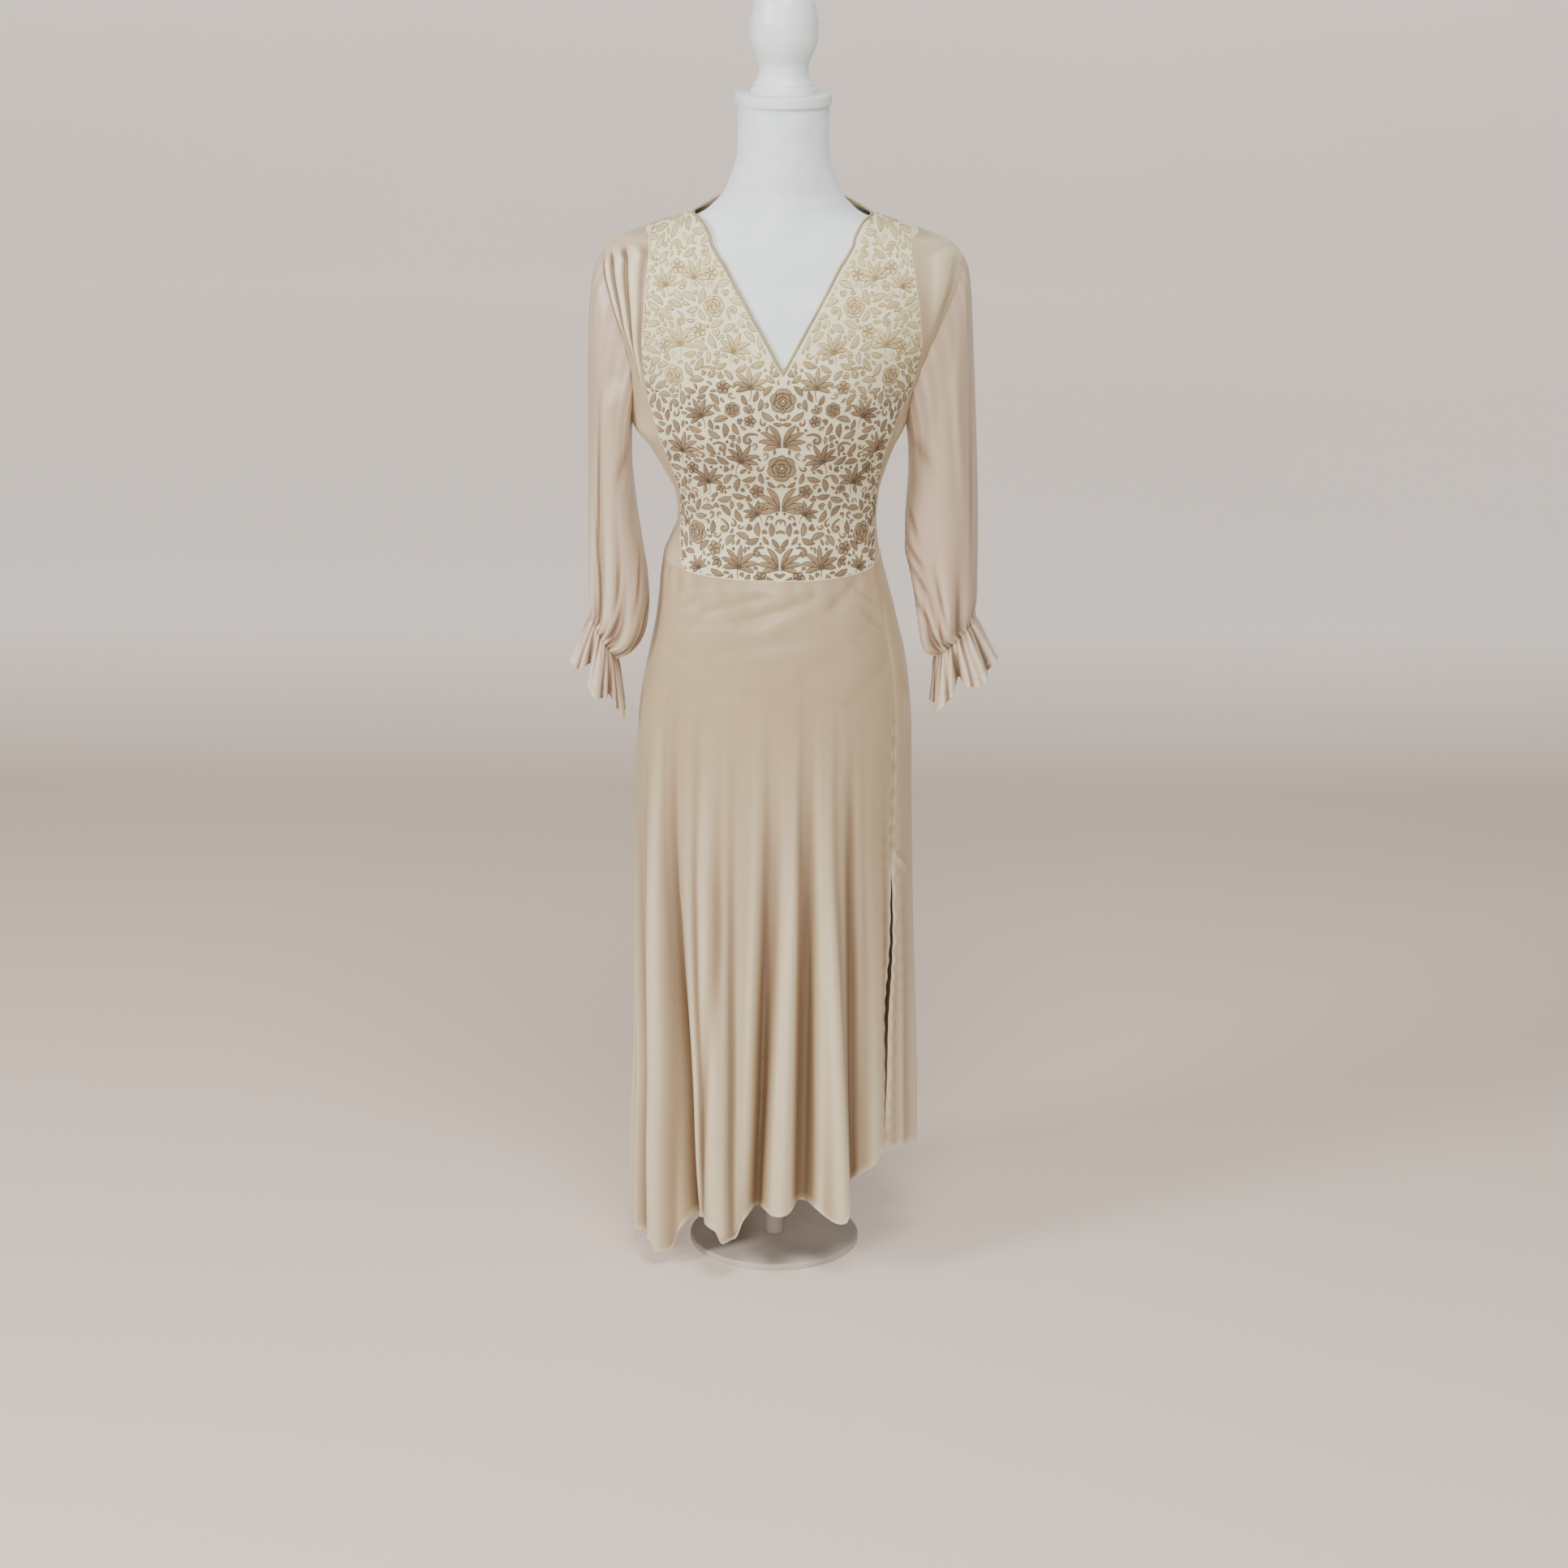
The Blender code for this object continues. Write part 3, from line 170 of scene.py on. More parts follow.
satin = satinMaterial("champagne satin, woven", satinLook)
sleeveSatin = satinMaterial("champagne satin, sleeve", {**satinLook, "base": "b8a18a", "shade": "8d7764", "light": "d6c5af", "deepPaintedShade": "75604f"})
ground = woven("cream cotton ground, woven", [(0.3, "dcd8b6"), (0.7, "e8e4c6")],
               {"Roughness": 0.75, "Sheen Weight": 0.15}, 900.0, 0.3)
pipingCloth = woven("taupe satin piping, bias strip", [(0.3, "96805f"), (0.7, "b09a78")],
                    {"Roughness": 0.5, "Sheen Weight": 0.3}, 800.0, 0.25)
jersey = woven("white jersey cover, knitted", [(0.3, "dceaf0"), (0.7, "e8f3f7")],
               {"Roughness": 0.82, "Sheen Weight": 0.25, "Sheen Roughness": 0.5}, 700.0, 0.3)
paintedWood = woven("white painted turned wood", [(0.3, "dde8ec"), (0.7, "e6eef1")],
                    {"Roughness": 0.38, "Coat Weight": 0.15, "Coat Roughness": 0.3}, 120.0, 0.05)
paintedSteel = woven("powder coated steel", [(0.3, "c9beb4"), (0.7, "d0c6bc")], {"Roughness": 0.5}, 900.0, 0.12)
# the last two colours of each thread are painted light, used above the bust
threadFill = threadMaterial("embroidery thread, satin stitch fill", "7c654d", "b79e78", "c7b176", "efe4b4")
threadLine = threadMaterial("embroidery thread, outline stitch", "4a3828", "64503b", "957a4c", "b39a66")
stitchThread = woven("sewing thread, matched", [(0.3, "b9a283"), (0.7, "cbb799")], {"Roughness": 0.6}, 500.0, 0.2)
print("stage: materials made")


# ---- curves through table rows ----
def curveThrough(keys, values):
    keys = np.array(keys, float)
    values = np.array(values, float)
    rise = np.diff(values) / np.diff(keys)
    slopes = np.empty_like(values)
    slopes[0], slopes[-1] = rise[0], rise[-1]
    before, after = rise[:-1], rise[1:]
    total = np.where(np.abs(before + after) < 1e-12, 1.0, before + after)
    slopes[1:-1] = np.where(before * after > 0, 2 * before * after / total, 0.0)

    def at(x):
        x = np.clip(np.asarray(x, float), keys[0], keys[-1])
        low = np.clip(np.searchsorted(keys, x, side="right") - 1, 0, len(keys) - 2)
        step = keys[low + 1] - keys[low]
        part = (x - keys[low]) / step
        return (values[low] * (1 + 2 * part) * (1 - part) ** 2 + slopes[low] * step * part * (1 - part) ** 2
                + values[low + 1] * part ** 2 * (3 - 2 * part) + slopes[low + 1] * step * part ** 2 * (part - 1))
    return at


def columnsOf(names, rows):
    table = np.array(rows, float)
    return {name: curveThrough(table[:, 0], table[:, i]) for i, name in enumerate(names.split()) if i}


def ease(value):
    value = np.clip(value, 0.0, 1.0)
    return value * value * (3 - 2 * value)


def unit(vectors):
    return vectors / np.maximum(np.linalg.norm(vectors, axis=-1, keepdims=True), 1e-9)


body = columnsOf("height left right front back square form", [
    (640, 154, 154, 97, 104, 2.2, 150), (700, 163, 163, 109, 116, 2.2, 159), (760, 164, 164, 113, 118, 2.2, 160),
    (830, 156, 156, 109, 113, 2.2, 152), (890, 142, 142, 102, 101, 2.2, 136), (929, 149, 131, 101, 97, 2.2, 124),
    (946, 146, 127, 100, 95, 2.25, 120), (962, 139, 124, 99, 93, 2.25, 117), (990, 129, 122, 98, 90, 2.25, 115),
    (1022, 132, 124, 102, 92, 2.3, 117), (1053, 147, 132, 110, 98, 2.3, 124), (1086, 167, 144, 122, 105, 2.3, 134),
    (1112, 186, 157, 130, 109, 2.3, 143), (1150, 192, 168, 136, 113, 2.3, 152), (1180, 197, 180, 138, 115, 2.3, 161),
    (1206, 204, 192, 133, 116, 2.3, 171), (1260, 222, 217, 116, 115, 2.2, 192), (1300, 228, 227, 99, 108, 2.1, 211),
    (1327, 222, 222, 87, 98, 2.0, 219), (1344, 204, 204, 79, 90, 1.9, 204), (1355, 175, 175, 74, 84, 1.8, 175),
    (1366, 144, 144, 70, 78, 1.75, 144), (1376, 115, 115, 67, 73, 1.7, 115), (1384, 99, 99, 65, 69.5, 1.7, 99),
    (1392, 90, 90, 63.5, 67, 1.8, 90), (1408, 76, 76, 61.5, 63.5, 1.9, 76), (1429, 65.5, 65.5, 60.3, 61, 2.0, 65.5),
    (1450, 60.5, 60.5, 60, 60.3, 2.0, 60.5), (1480, 60, 60, 60, 60, 2.0, 60), (1512, 60.5, 60.5, 60.5, 60.5, 2.0, 60.5)])
skirt = columnsOf("height left right front back square", [
    (0, 185, 186, 140, 150, 2.1), (140, 184, 185, 139, 149, 2.1), (260, 181, 182, 137, 146, 2.1),
    (430, 184, 179, 135, 142, 2.1), (590, 185, 174, 131, 137, 2.1), (660, 183, 172, 128, 134, 2.1),
    (720, 180, 171, 126, 131, 2.15), (750, 177, 169, 125, 129, 2.15), (807, 167, 162, 122, 124, 2.2),
    (858, 157, 150, 116, 115, 2.2), (890, 153, 142, 110, 107, 2.2), (915, 151, 135, 105, 100, 2.2),
    (929, 149, 131, 101, 97, 2.2), (950, 146, 127, 100, 95, 2.25)])
panelEdge = columnsOf("height left right", [
    (926, 120, 120), (957, 124, 119.5), (990, 125, 119), (1022, 125, 120.5), (1053, 131, 124), (1084, 142, 129),
    (1112, 151, 138), (1139, 159, 147), (1166, 166, 160), (1196, 170, 168), (1222, 172, 173), (1250, 171, 172),
    (1300, 167, 165), (1336, 164, 160), (1359, 164, 159)])
panelRows = [926, 957, 990, 1022, 1053, 1084, 1112, 1124, 1140, 1158, 1177, 1196, 1221, 1247, 1274, 1301, 1327, 1348, 1359]
neckRows = [1196, 1230, 1264, 1296, 1325, 1350, 1370, 1378]
bodiceSize = {
    "waistSide": 944.0, "waistDip": 15.0, "vPointX": 3.0, "vPointHeight": 1196.0, "neckPointX": 106.0,
    "neckPointHeight": 1378.0, "backNeckHeight": 1396.0, "underarm": 1112.0, "shoulderTip": 1327.0,
    "armholeFront": 23.0, "armholeBack": 27.0, "lowRows": 6, "armRows": 12, "rowSplit": 5, "thickness": 0.9,
    "gap": 0.15, "backStrip": 0.76, "backMiddle": 60.0,
}


def oval(turn, height, table, half=None):
    angle = np.radians(turn)
    across, along = np.sin(angle), np.cos(angle)
    power = 2.0 / table["square"](height)
    if half is None:
        half = np.where(across >= 0, table["right"](height), table["left"](height))
    depth = np.where(along >= 0, table["front"](height), table["back"](height))
    x = half * np.sign(across) * np.abs(across) ** power
    y = -depth * np.sign(along) * np.abs(along) ** power
    return np.stack([x, y, np.broadcast_to(height, x.shape)], axis=-1)


def bodyAt(turn, height):
    return oval(np.asarray(turn, float), np.asarray(height, float), body)


def formAt(turn, height):
    return oval(turn, height, body, body["form"](height))


def normalsAt(pointAt, turn, height, turnStep=0.8, heightStep=1.5):
    around = pointAt(turn + turnStep, height) - pointAt(turn - turnStep, height)
    upward = pointAt(turn, height + heightStep) - pointAt(turn, height - heightStep)
    return unit(np.cross(around, upward))


def turnAt(x, height):
    half = np.where(np.asarray(x) >= 0, body["right"](height), body["left"](height))
    ratio = np.clip(np.abs(x) / half, 0, 1) ** (body["square"](height) / 2)
    return np.sign(x) * np.degrees(np.arcsin(ratio))


def waistHeight(turn):
    return bodiceSize["waistSide"] - bodiceSize["waistDip"] * np.maximum(0, np.cos(np.radians(turn))) ** 0.8


# ---- guide lines of the bodice: turn and height at each row ----
def sideGuide(side, face):
    sign = 1 if side == "right" else -1
    size = bodiceSize
    share = np.arange(size["lowRows"]) / size["lowRows"]
    low = [(sign * 90.0, size["waistSide"] + (size["underarm"] - size["waistSide"]) * s) for s in share]
    middle, reach = (size["shoulderTip"] + size["underarm"]) / 2, (size["shoulderTip"] - size["underarm"]) / 2
    swing = -size["armholeFront"] if face == "front" else size["armholeBack"]
    angles = [math.pi * (1 - row / size["armRows"]) for row in range(size["armRows"] + 1)]
    return np.array(low + [(sign * (90 + swing * math.sin(a)), middle + reach * math.cos(a)) for a in angles])


def panelGuide(side, face):
    sign = 1 if side == "right" else -1
    last = len(panelRows) - 1
    guide = []
    for row, height in enumerate(panelRows):
        x = float(panelEdge[side](height))
        if face == "back":
            x *= bodiceSize["backStrip"] + (1 - bodiceSize["backStrip"]) * float(ease((row - 11) / (last - 11)))
        turn = 90.0 if row == last else abs(float(turnAt(sign * x, height)))
        if row == 0:
            height = float(waistHeight(turn)) if face == "front" else bodiceSize["waistSide"]
        guide.append((sign * (turn if face == "front" else 180 - turn), height))
    return np.array(guide)


def neckGuide(side):
    sign = 1 if side == "right" else -1
    guide = []
    for height in neckRows:
        share = (height - neckRows[0]) / (neckRows[-1] - neckRows[0])
        x = bodiceSize["vPointX"] + (sign * bodiceSize["neckPointX"] - bodiceSize["vPointX"]) * share
        guide.append((float(turnAt(x, height)), height))
    guide[-1] = (sign * 90.0, neckRows[-1])
    return np.array(guide)


def centreGuide():
    count = len(panelRows) - len(neckRows)
    return np.array([(float(turnAt(bodiceSize["vPointX"] * row / count, panelRows[row])),
                      panelRows[row] if row else float(waistHeight(0))) for row in range(count + 1)])


def backNeckGuide(side):
    sign = 1 if side == "right" else -1
    low, last = len(panelRows) - len(neckRows), len(panelRows) - 1
    guide = []
    for row in range(last + 1):
        height = panelRows[row] if row < low else neckRows[row - low]
        if row == 0:
            height = bodiceSize["waistSide"]
        x = bodiceSize["backMiddle"] + (bodiceSize["neckPointX"] - bodiceSize["backMiddle"]) * row / last
        guide.append((sign * (90.0 if row == last else 180 - abs(float(turnAt(sign * x, height)))), height))
    return np.array(guide)


def finer(guide, first=0):
    split = bodiceSize["rowSplit"]
    rows = np.linspace(first, first + len(guide) - 1, (len(guide) - 1) * split + 1)
    keys = np.arange(first, first + len(guide))
    return np.stack([curveThrough(keys, guide[:, 0])(rows), curveThrough(keys, guide[:, 1])(rows)], axis=-1)


def strip(first, second, columns, arch=0.0):
    share = np.linspace(0, 1, columns + 1)[None, :]
    rise = (np.linspace(0, 1, len(first)) ** 4)[:, None]
    turn = first[:, :1] + (second[:, :1] - first[:, :1]) * share
    height = first[:, 1:] + (second[:, 1:] - first[:, 1:]) * share + arch * rise * 4 * share * (1 - share)
    return turn, height


def joinStrips(strips):
    turns = np.concatenate([s[0] if i == 0 else s[0][:, 1:] for i, s in enumerate(strips)], axis=1)
    heights = np.concatenate([s[1] if i == 0 else s[1][:, 1:] for i, s in enumerate(strips)], axis=1)
    return turns, heights


# ---- meshes ----
def buildMesh(name, points, faces, material, smooth=True, angle=50.0):
    mesh = bpy.data.meshes.new(name)
    mesh.from_pydata((np.asarray(points) * mm).tolist(), [], faces)
    mesh.materials.append(material)
    piece = bpy.data.objects.new(name, mesh)
    bpy.context.scene.collection.objects.link(piece)
    if smooth:
        mesh.shade_smooth()
        mesh.set_sharp_from_angle(angle=math.radians(angle))
    return piece


def blurred(values, reach, closed, axis):
    pad = [(0, 0)] * values.ndim
    pad[axis] = (reach, reach)
    padded = np.pad(values, pad, mode="wrap" if closed else "edge")
    total = np.cumsum(np.concatenate([np.zeros_like(np.take(padded, [0], axis)), padded], axis), axis)
    width = 2 * reach + 1
    count = values.shape[axis]
    high = np.take(total, range(width, width + count), axis)
    return (high - np.take(total, range(count), axis)) / width


def paintedFoldShade(grid, normals, closed=False, fine=3, wide=11, strength=(0.16, 0.05)):
    """Local relief of the cloth from 0 in a valley to 1 on a ridge, around 0.5, used as painted shade in the valleys
    and painted highlight on the ridges.
    """
    tone = np.full(grid.shape[:2], 0.5)
    for reach, share in zip((fine, wide), strength):
        smooth = blurred(blurred(grid, reach, closed, 1), reach, closed, 1)
        tone = tone + share * np.sum((grid - smooth) * normals, axis=-1)
    return np.clip(blurred(tone, 1, closed, 1), 0.0, 1.0)


def clothWall(name, points, normals, quads, material, thickness=None, tone=None):
    thickness = thickness or bodiceSize["thickness"]
    count = len(points)
    both = np.concatenate([points, points - thickness * normals])
    faces = [tuple(q) for q in quads] + [tuple(i + count for i in reversed(q)) for q in quads]
    used = {(q[i], q[(i + 1) % 4]) for q in quads for i in range(4)}
    faces += [(b, a, a + count, b + count) for a, b in used if (b, a) not in used]
    piece = buildMesh(name, both, faces, material)
    # the fold relief is stored for the satin's painted fold shade and painted highlight
    if tone is not None:
        layer = piece.data.attributes.new("foldPaintedShade", "FLOAT", "POINT")
        layer.data.foreach_set("value", np.tile(tone.ravel(), 2).astype(np.float32))
    return piece


def gridQuads(rows, columns, closed=False, flip=False):
    width = columns if closed else columns + 1
    quads = []
    for row in range(rows):
        for column in range(columns):
            after = (column + 1) % width
            a, b = row * width + column, row * width + after
            quad = (a, b, b + width, a + width)
            quads.append(quad[::-1] if flip else quad)
    return quads


def backFromSeams(grid, sides, gap):
    moved = grid.copy()
    if "first" in sides:
        moved[:, 0] += gap * unit(grid[:, 1] - grid[:, 0])
    if "last" in sides:
        moved[:, -1] += gap * unit(grid[:, -2] - grid[:, -1])
    if "bottom" in sides:
        moved[0] += gap * unit(grid[1] - grid[0])
    if "top" in sides:
        moved[-1] += gap * unit(grid[-2] - grid[-1])
    return moved


def meshArea(piece):
    return sum(face.area for face in piece.data.polygons) / 2


def lineCrease(place, start, end, width):
    start, end = np.array(start, float), np.array(end, float)
    line = end - start
    share = np.clip(((place - start) @ line) / (line @ line), 0, 1)
    away = np.linalg.norm(place - (start + share[..., None] * line), axis=-1)
    return np.exp(-(away / width) ** 2) * np.sin(np.pi * (0.1 + 0.8 * share)) ** 0.6


# small soft creases of the bodice: distance across and height of each end, depth and width in millimetres
bodiceCreases = [
    (-105, 1062, -60, 1040, -1.6, 6), (-112, 1030, -70, 1012, -1.3, 5), (-100, 985, -52, 972, -1.4, 6),
    (104, 1052, 66, 1034, -1.5, 6), (108, 1010, 60, 996, -1.2, 5), (98, 968, 55, 958, -1.3, 5),
    (-30, 975, 28, 966, -1.0, 6), (-46, 1112, 44, 1108, -1.6, 9), (-150, 1128, -118, 1088, -1.8, 7),
    (142, 1124, 116, 1084, -1.8, 7), (-38, 1010, 30, 1022, 0.9, 7), (-160, 1196, -150, 1150, 1.4, 8),
    (162, 1194, 150, 1150, 1.4, 8),
]
backCreases = [
    (-110, 1060, -50, 1030, -2.0, 8), (112, 1056, 52, 1026, -2.0, 8), (-100, 1000, -40, 984, -1.8, 7),
    (104, 1002, 44, 980, -1.8, 7), (-30, 968, 34, 972, -1.4, 7), (-150, 1230, -120, 1150, -2.2, 9),
    (150, 1226, 122, 1148, -2.2, 9), (-80, 1330, -60, 1270, 1.4, 9), (84, 1332, 62, 1276, 1.4, 9),
]


def bodicePush(grid, creases):
    flat = grid[..., [0, 2]]
    push = np.zeros(grid.shape[:-1])
    for x0, z0, x1, z1, depth, width in creases:
        push += depth * lineCrease(flat, (x0, z0), (x1, z1), width)
    return push


sidePleats = {  # across share, height of the pleat, width, top and foot
    "left": [(0.22, 5.0, 0.10, 1330, 1160), (0.50, 6.0, 0.11, 1322, 1190), (0.78, 5.0, 0.10, 1312, 1215)],
    "right": [(0.45, 2.5, 0.20, 1326, 1230)],
}
sideColumns = {"left": 40, "right": 26}
pieces = {}


def edgeFade(shape, sides):
    rows, columns = shape
    r = np.arange(rows)[:, None]
    c = np.arange(columns)[None, :]
    fade = np.ones(shape)
    for name, value in (("bottom", r), ("top", rows - 1 - r), ("first", c), ("last", columns - 1 - c)):
        if name in sides:
            fade = fade * ease(value / 4.0)
    return fade


def makeSideFront(side):
    columns = sideColumns[side]
    turn, height = strip(finer(panelGuide(side, "front")), finer(sideGuide(side, "front")), columns)
    height[0] = waistHeight(turn[0])
    grid, normals = bodyAt(turn, height), normalsAt(bodyAt, turn, height)
    across = np.linspace(0, 1, columns + 1)[None, :]
    push = np.zeros(grid.shape[:-1])
    for place, rise, width, top, foot in sidePleats[side]:
        grow = ease((height - foot) / 60.0) * ease((top - height) / 12.0 + 1.0)
        push += rise * grow * np.exp(-((across - place) / width) ** 2)
        push -= 0.35 * rise * grow * np.exp(-((across - place - 1.5 * width) / (0.6 * width)) ** 2)
    push += bodicePush(grid, bodiceCreases)
    grid = grid + (push * edgeFade(push.shape, ("bottom", "top", "first", "last")))[..., None] * normals
    grid = backFromSeams(grid, ("bottom", "top", "first", "last"), bodiceSize["gap"])
    quads = gridQuads(grid.shape[0] - 1, columns, flip=side == "left")
    name = "sideFront" + side.capitalize()
    pieces[name] = clothWall(name, grid.reshape(-1, 3), normals.reshape(-1, 3), quads, satin,
                             tone=paintedFoldShade(grid, normals, strength=(0.3, 0.1)))
    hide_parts("dress_side_front_" + side)


def frontPanelGrids():
    low = (len(panelRows) - len(neckRows)) * bodiceSize["rowSplit"]
    split = 24
    grids = []
    for side in ("left", "right"):
        inner = np.concatenate([finer(centreGuide()), finer(neckGuide(side))[1:]])
        turn, height = strip(finer(panelGuide(side, "front")), inner, split)
        height[0] = waistHeight(turn[0])
        grid, normals = bodyAt(turn, height), normalsAt(bodyAt, turn, height)
        push = bodicePush(grid, bodiceCreases) * edgeFade(turn.shape, ("bottom", "top", "first"))
        push[low - 2:] *= edgeFade(push[low - 2:].shape, ("last",))
        grid = grid + push[..., None] * normals
        grid = backFromSeams(grid, ("bottom", "top", "first"), bodiceSize["gap"])
        grid[low + 1:, -1] += bodiceSize["gap"] * unit(grid[low + 1:, -2] - grid[low + 1:, -1])
        grids.append((side, grid, normals))
    return grids, low, split


def makeFrontPanel():
    grids, low, split = frontPanelGrids()
    points, moves, quads, lookup = [], [], [], {}

    def keyOf(side, row, column):
        return (row, "centre") if column == split and row <= low else (row, side, column)
    for side, grid, normals in grids:
        for row in range(grid.shape[0]):
            for column in range(split + 1):
                key = keyOf(side, row, column)
                if key not in lookup:
                    lookup[key] = len(points)
                    points.append(grid[row, column])
                    moves.append(normals[row, column])
        for row in range(grid.shape[0] - 1):
            for column in range(split):
                quad = tuple(lookup[keyOf(side, r, c)] for r, c in (
                    (row, column), (row, column + 1), (row + 1, column + 1), (row + 1, column)))
                quads.append(quad if side == "left" else quad[::-1])
    pieces["frontPanel"] = clothWall("frontPanel", np.array(points), np.array(moves), quads, ground)
    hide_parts("dress_front_panel")


def makeBack():
    lift = bodiceSize["backNeckHeight"] - bodiceSize["neckPointHeight"]
    right = [finer(g) for g in (sideGuide("right", "back"), panelGuide("right", "back"), backNeckGuide("right"))]
    left = [finer(g) for g in (sideGuide("left", "back"), panelGuide("left", "back"), backNeckGuide("left"))]
    for guide in left:
        guide[:, 0] += 360.0
    turn, height = joinStrips([
        strip(right[0], right[1], 16), strip(right[1], right[2], 14), strip(right[2], left[2], 24, lift),
        strip(left[2], left[1], 14), strip(left[1], left[0], 16)])
    grid, normals = bodyAt(turn, height), normalsAt(bodyAt, turn, height)
    push = bodicePush(grid, backCreases) * edgeFade(turn.shape, ("bottom", "top", "first", "last"))
    grid = backFromSeams(grid + push[..., None] * normals, ("bottom", "top", "first", "last"), bodiceSize["gap"])
    quads = gridQuads(grid.shape[0] - 1, grid.shape[1] - 1)
    pieces["backBodice"] = clothWall("backBodice", grid.reshape(-1, 3), normals.reshape(-1, 3), quads, satin,
                                     tone=paintedFoldShade(grid, normals, strength=(0.3, 0.1)))
    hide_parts("dress_back")


makeSideFront("left")
makeSideFront("right")
makeFrontPanel()
makeBack()
print("stage: bodice made")


# ---- sleeves and cuff ruffles ----
sleeveNames = "outerX outerZ innerX innerZ depth middle"
sleeveRings = {
    "right": [(222, 1327, 157, 1112, 62, 2), (231, 1310, 160, 1084, 63, 2), (236, 1277, 161, 1056, 63, 2),
              (239, 1226, 160, 1024, 63, 1), (243, 1156, 158, 988, 62, 0), (247, 1078, 158, 952, 60, -2),
              (250, 1004, 164, 922, 58, -4), (251, 944, 170, 890, 56, -6), (251, 906, 175, 858, 53, -7),
              (250, 882, 180, 832, 47, -8), (248, 869, 189, 817, 39, -8), (249, 861, 199, 812, 33, -8)],
    "left": [(222, 1327, 186, 1112, 62, 2), (232, 1308, 188, 1080, 63, 2), (238, 1274, 187, 1050, 63, 2),
             (241, 1224, 183, 1016, 63, 1), (242, 1156, 178, 982, 62, 0), (242, 1080, 172, 946, 60, -2),
             (242, 1008, 167, 914, 58, -4), (242, 946, 165, 882, 56, -6), (242, 908, 168, 850, 53, -7),
             (241, 884, 178, 824, 47, -8), (239, 871, 192, 810, 39, -8), (239, 861, 206, 805, 33, -8)]}
# turn round the tube from the outer side (0) over the front (90) to the back (270), push, width, start
sleeveFolds = {
    "left": [(28, 3.5, 12, 0.10), (53, -7.0, 9, 0.25), (72, 3.5, 10, 0.35), (93, -6.0, 9, 0.30), (124, 4.5, 15, 0.30),
             (160, -3.5, 12, 0.55), (212, -5.0, 11, 0.40), (245, 4.0, 13, 0.30), (278, -6.0, 10, 0.30),
             (318, -4.5, 11, 0.45), (40, -2.2, 3.5, 0.40), (63, -1.6, 3.0, 0.20), (106, -2.4, 4.0, 0.50),
             (140, -2.2, 4.5, 0.60), (14, -1.8, 4.0, 0.35), (82, 1.6, 4.0, 0.65), (192, -2.0, 4.0, 0.45),
             (228, 1.8, 5.0, 0.50), (262, -2.2, 4.0, 0.50), (296, -2.0, 4.0, 0.40), (340, -1.8, 4.0, 0.50)],
    "right": [(24, -3.5, 11, 0.45), (48, 3.5, 11, 0.40), (70, -5.0, 9, 0.50), (96, 3.0, 11, 0.35), (122, -6.0, 10, 0.55),
              (150, 4.5, 12, 0.30), (178, -5.0, 10, 0.35), (222, -5.0, 11, 0.35), (262, 4.0, 14, 0.30),
              (300, -6.0, 11, 0.35), (336, 3.0, 12, 0.45), (36, -1.8, 4.0, 0.60), (60, -1.6, 3.5, 0.68),
              (84, -2.0, 3.5, 0.66), (108, -2.2, 4.0, 0.60), (136, -2.0, 4.5, 0.62), (208, -2.0, 4.0, 0.40),
              (240, -1.8, 4.0, 0.50), (280, -2.0, 4.0, 0.45), (318, -1.8, 4.0, 0.50)]}
# slanting sleeve creases: turn and share at each end, push, width of turn
sleeveSlants = {
    "left": [(150, 0.12, 96, 0.40, -2.4, 5), (168, 0.18, 128, 0.42, -2.6, 6), (112, 0.05, 72, 0.30, 2.0, 6),
             (64, 0.30, 44, 0.62, -2.2, 5), (150, 0.45, 120, 0.72, -2.6, 5), (100, 0.60, 84, 0.85, 2.0, 4),
             (40, 0.52, 60, 0.84, -2.0, 4), (170, 0.62, 146, 0.86, -2.6, 5), (236, 0.15, 286, 0.45, -2.4, 6),
             (228, 0.45, 250, 0.78, -2.2, 6), (300, 0.50, 330, 0.80, -2.0, 5), (20, 0.05, 34, 0.30, 1.6, 6)],
    "right": [(164, 0.30, 130, 0.46, -2.8, 5), (168, 0.40, 128, 0.56, -2.8, 5), (166, 0.50, 124, 0.64, -2.6, 5),
              (170, 0.60, 128, 0.74, -2.6, 5), (150, 0.10, 104, 0.34, -2.0, 6), (110, 0.58, 88, 0.86, -2.2, 5),
              (70, 0.20, 58, 0.50, 1.6, 7), (30, 0.30, 44, 0.66, -1.6, 6), (132, 0.66, 108, 0.90, 2.4, 5),
              (236, 0.15, 286, 0.45, -2.4, 6), (228, 0.45, 250, 0.78, -2.2, 6), (300, 0.50, 330, 0.80, -2.0, 5)]}
ruffleHems = {"right": (275, 806, 193, 750, 50), "left": (262, 804, 194, 739, 50)}
ruffleFolds = {
    "right": [(18, 8, 24), (62, 7, 18), (96, -18, 10), (132, 9, 20), (176, -9, 15), (212, 8, 18), (248, -14, 14),
              (286, 9, 18), (328, -11, 13), (40, -5, 5), (5, -4, 5), (74, -4, 4), (118, -5, 5), (150, -5, 5), (28, 3, 4),
              (54, 3, 4), (108, 4, 4), (160, 3, 4), (200, -5, 5), (232, 4, 5), (270, -5, 5), (310, 4, 5)],
    "left": [(22, 7, 20), (55, -17, 9), (84, 11, 15), (116, -9, 9), (146, 8, 16), (186, -10, 14), (226, 9, 18),
             (264, -13, 14), (300, 9, 17), (336, -9, 13), (8, -5, 5), (36, -5, 5), (96, -4.5, 4), (134, -5, 4), (20, 3, 4),
             (70, 4, 4), (106, 3.5, 4), (158, -4, 5), (206, -5, 5), (240, 4, 5), (284, -5, 5), (318, 4, 5)]}
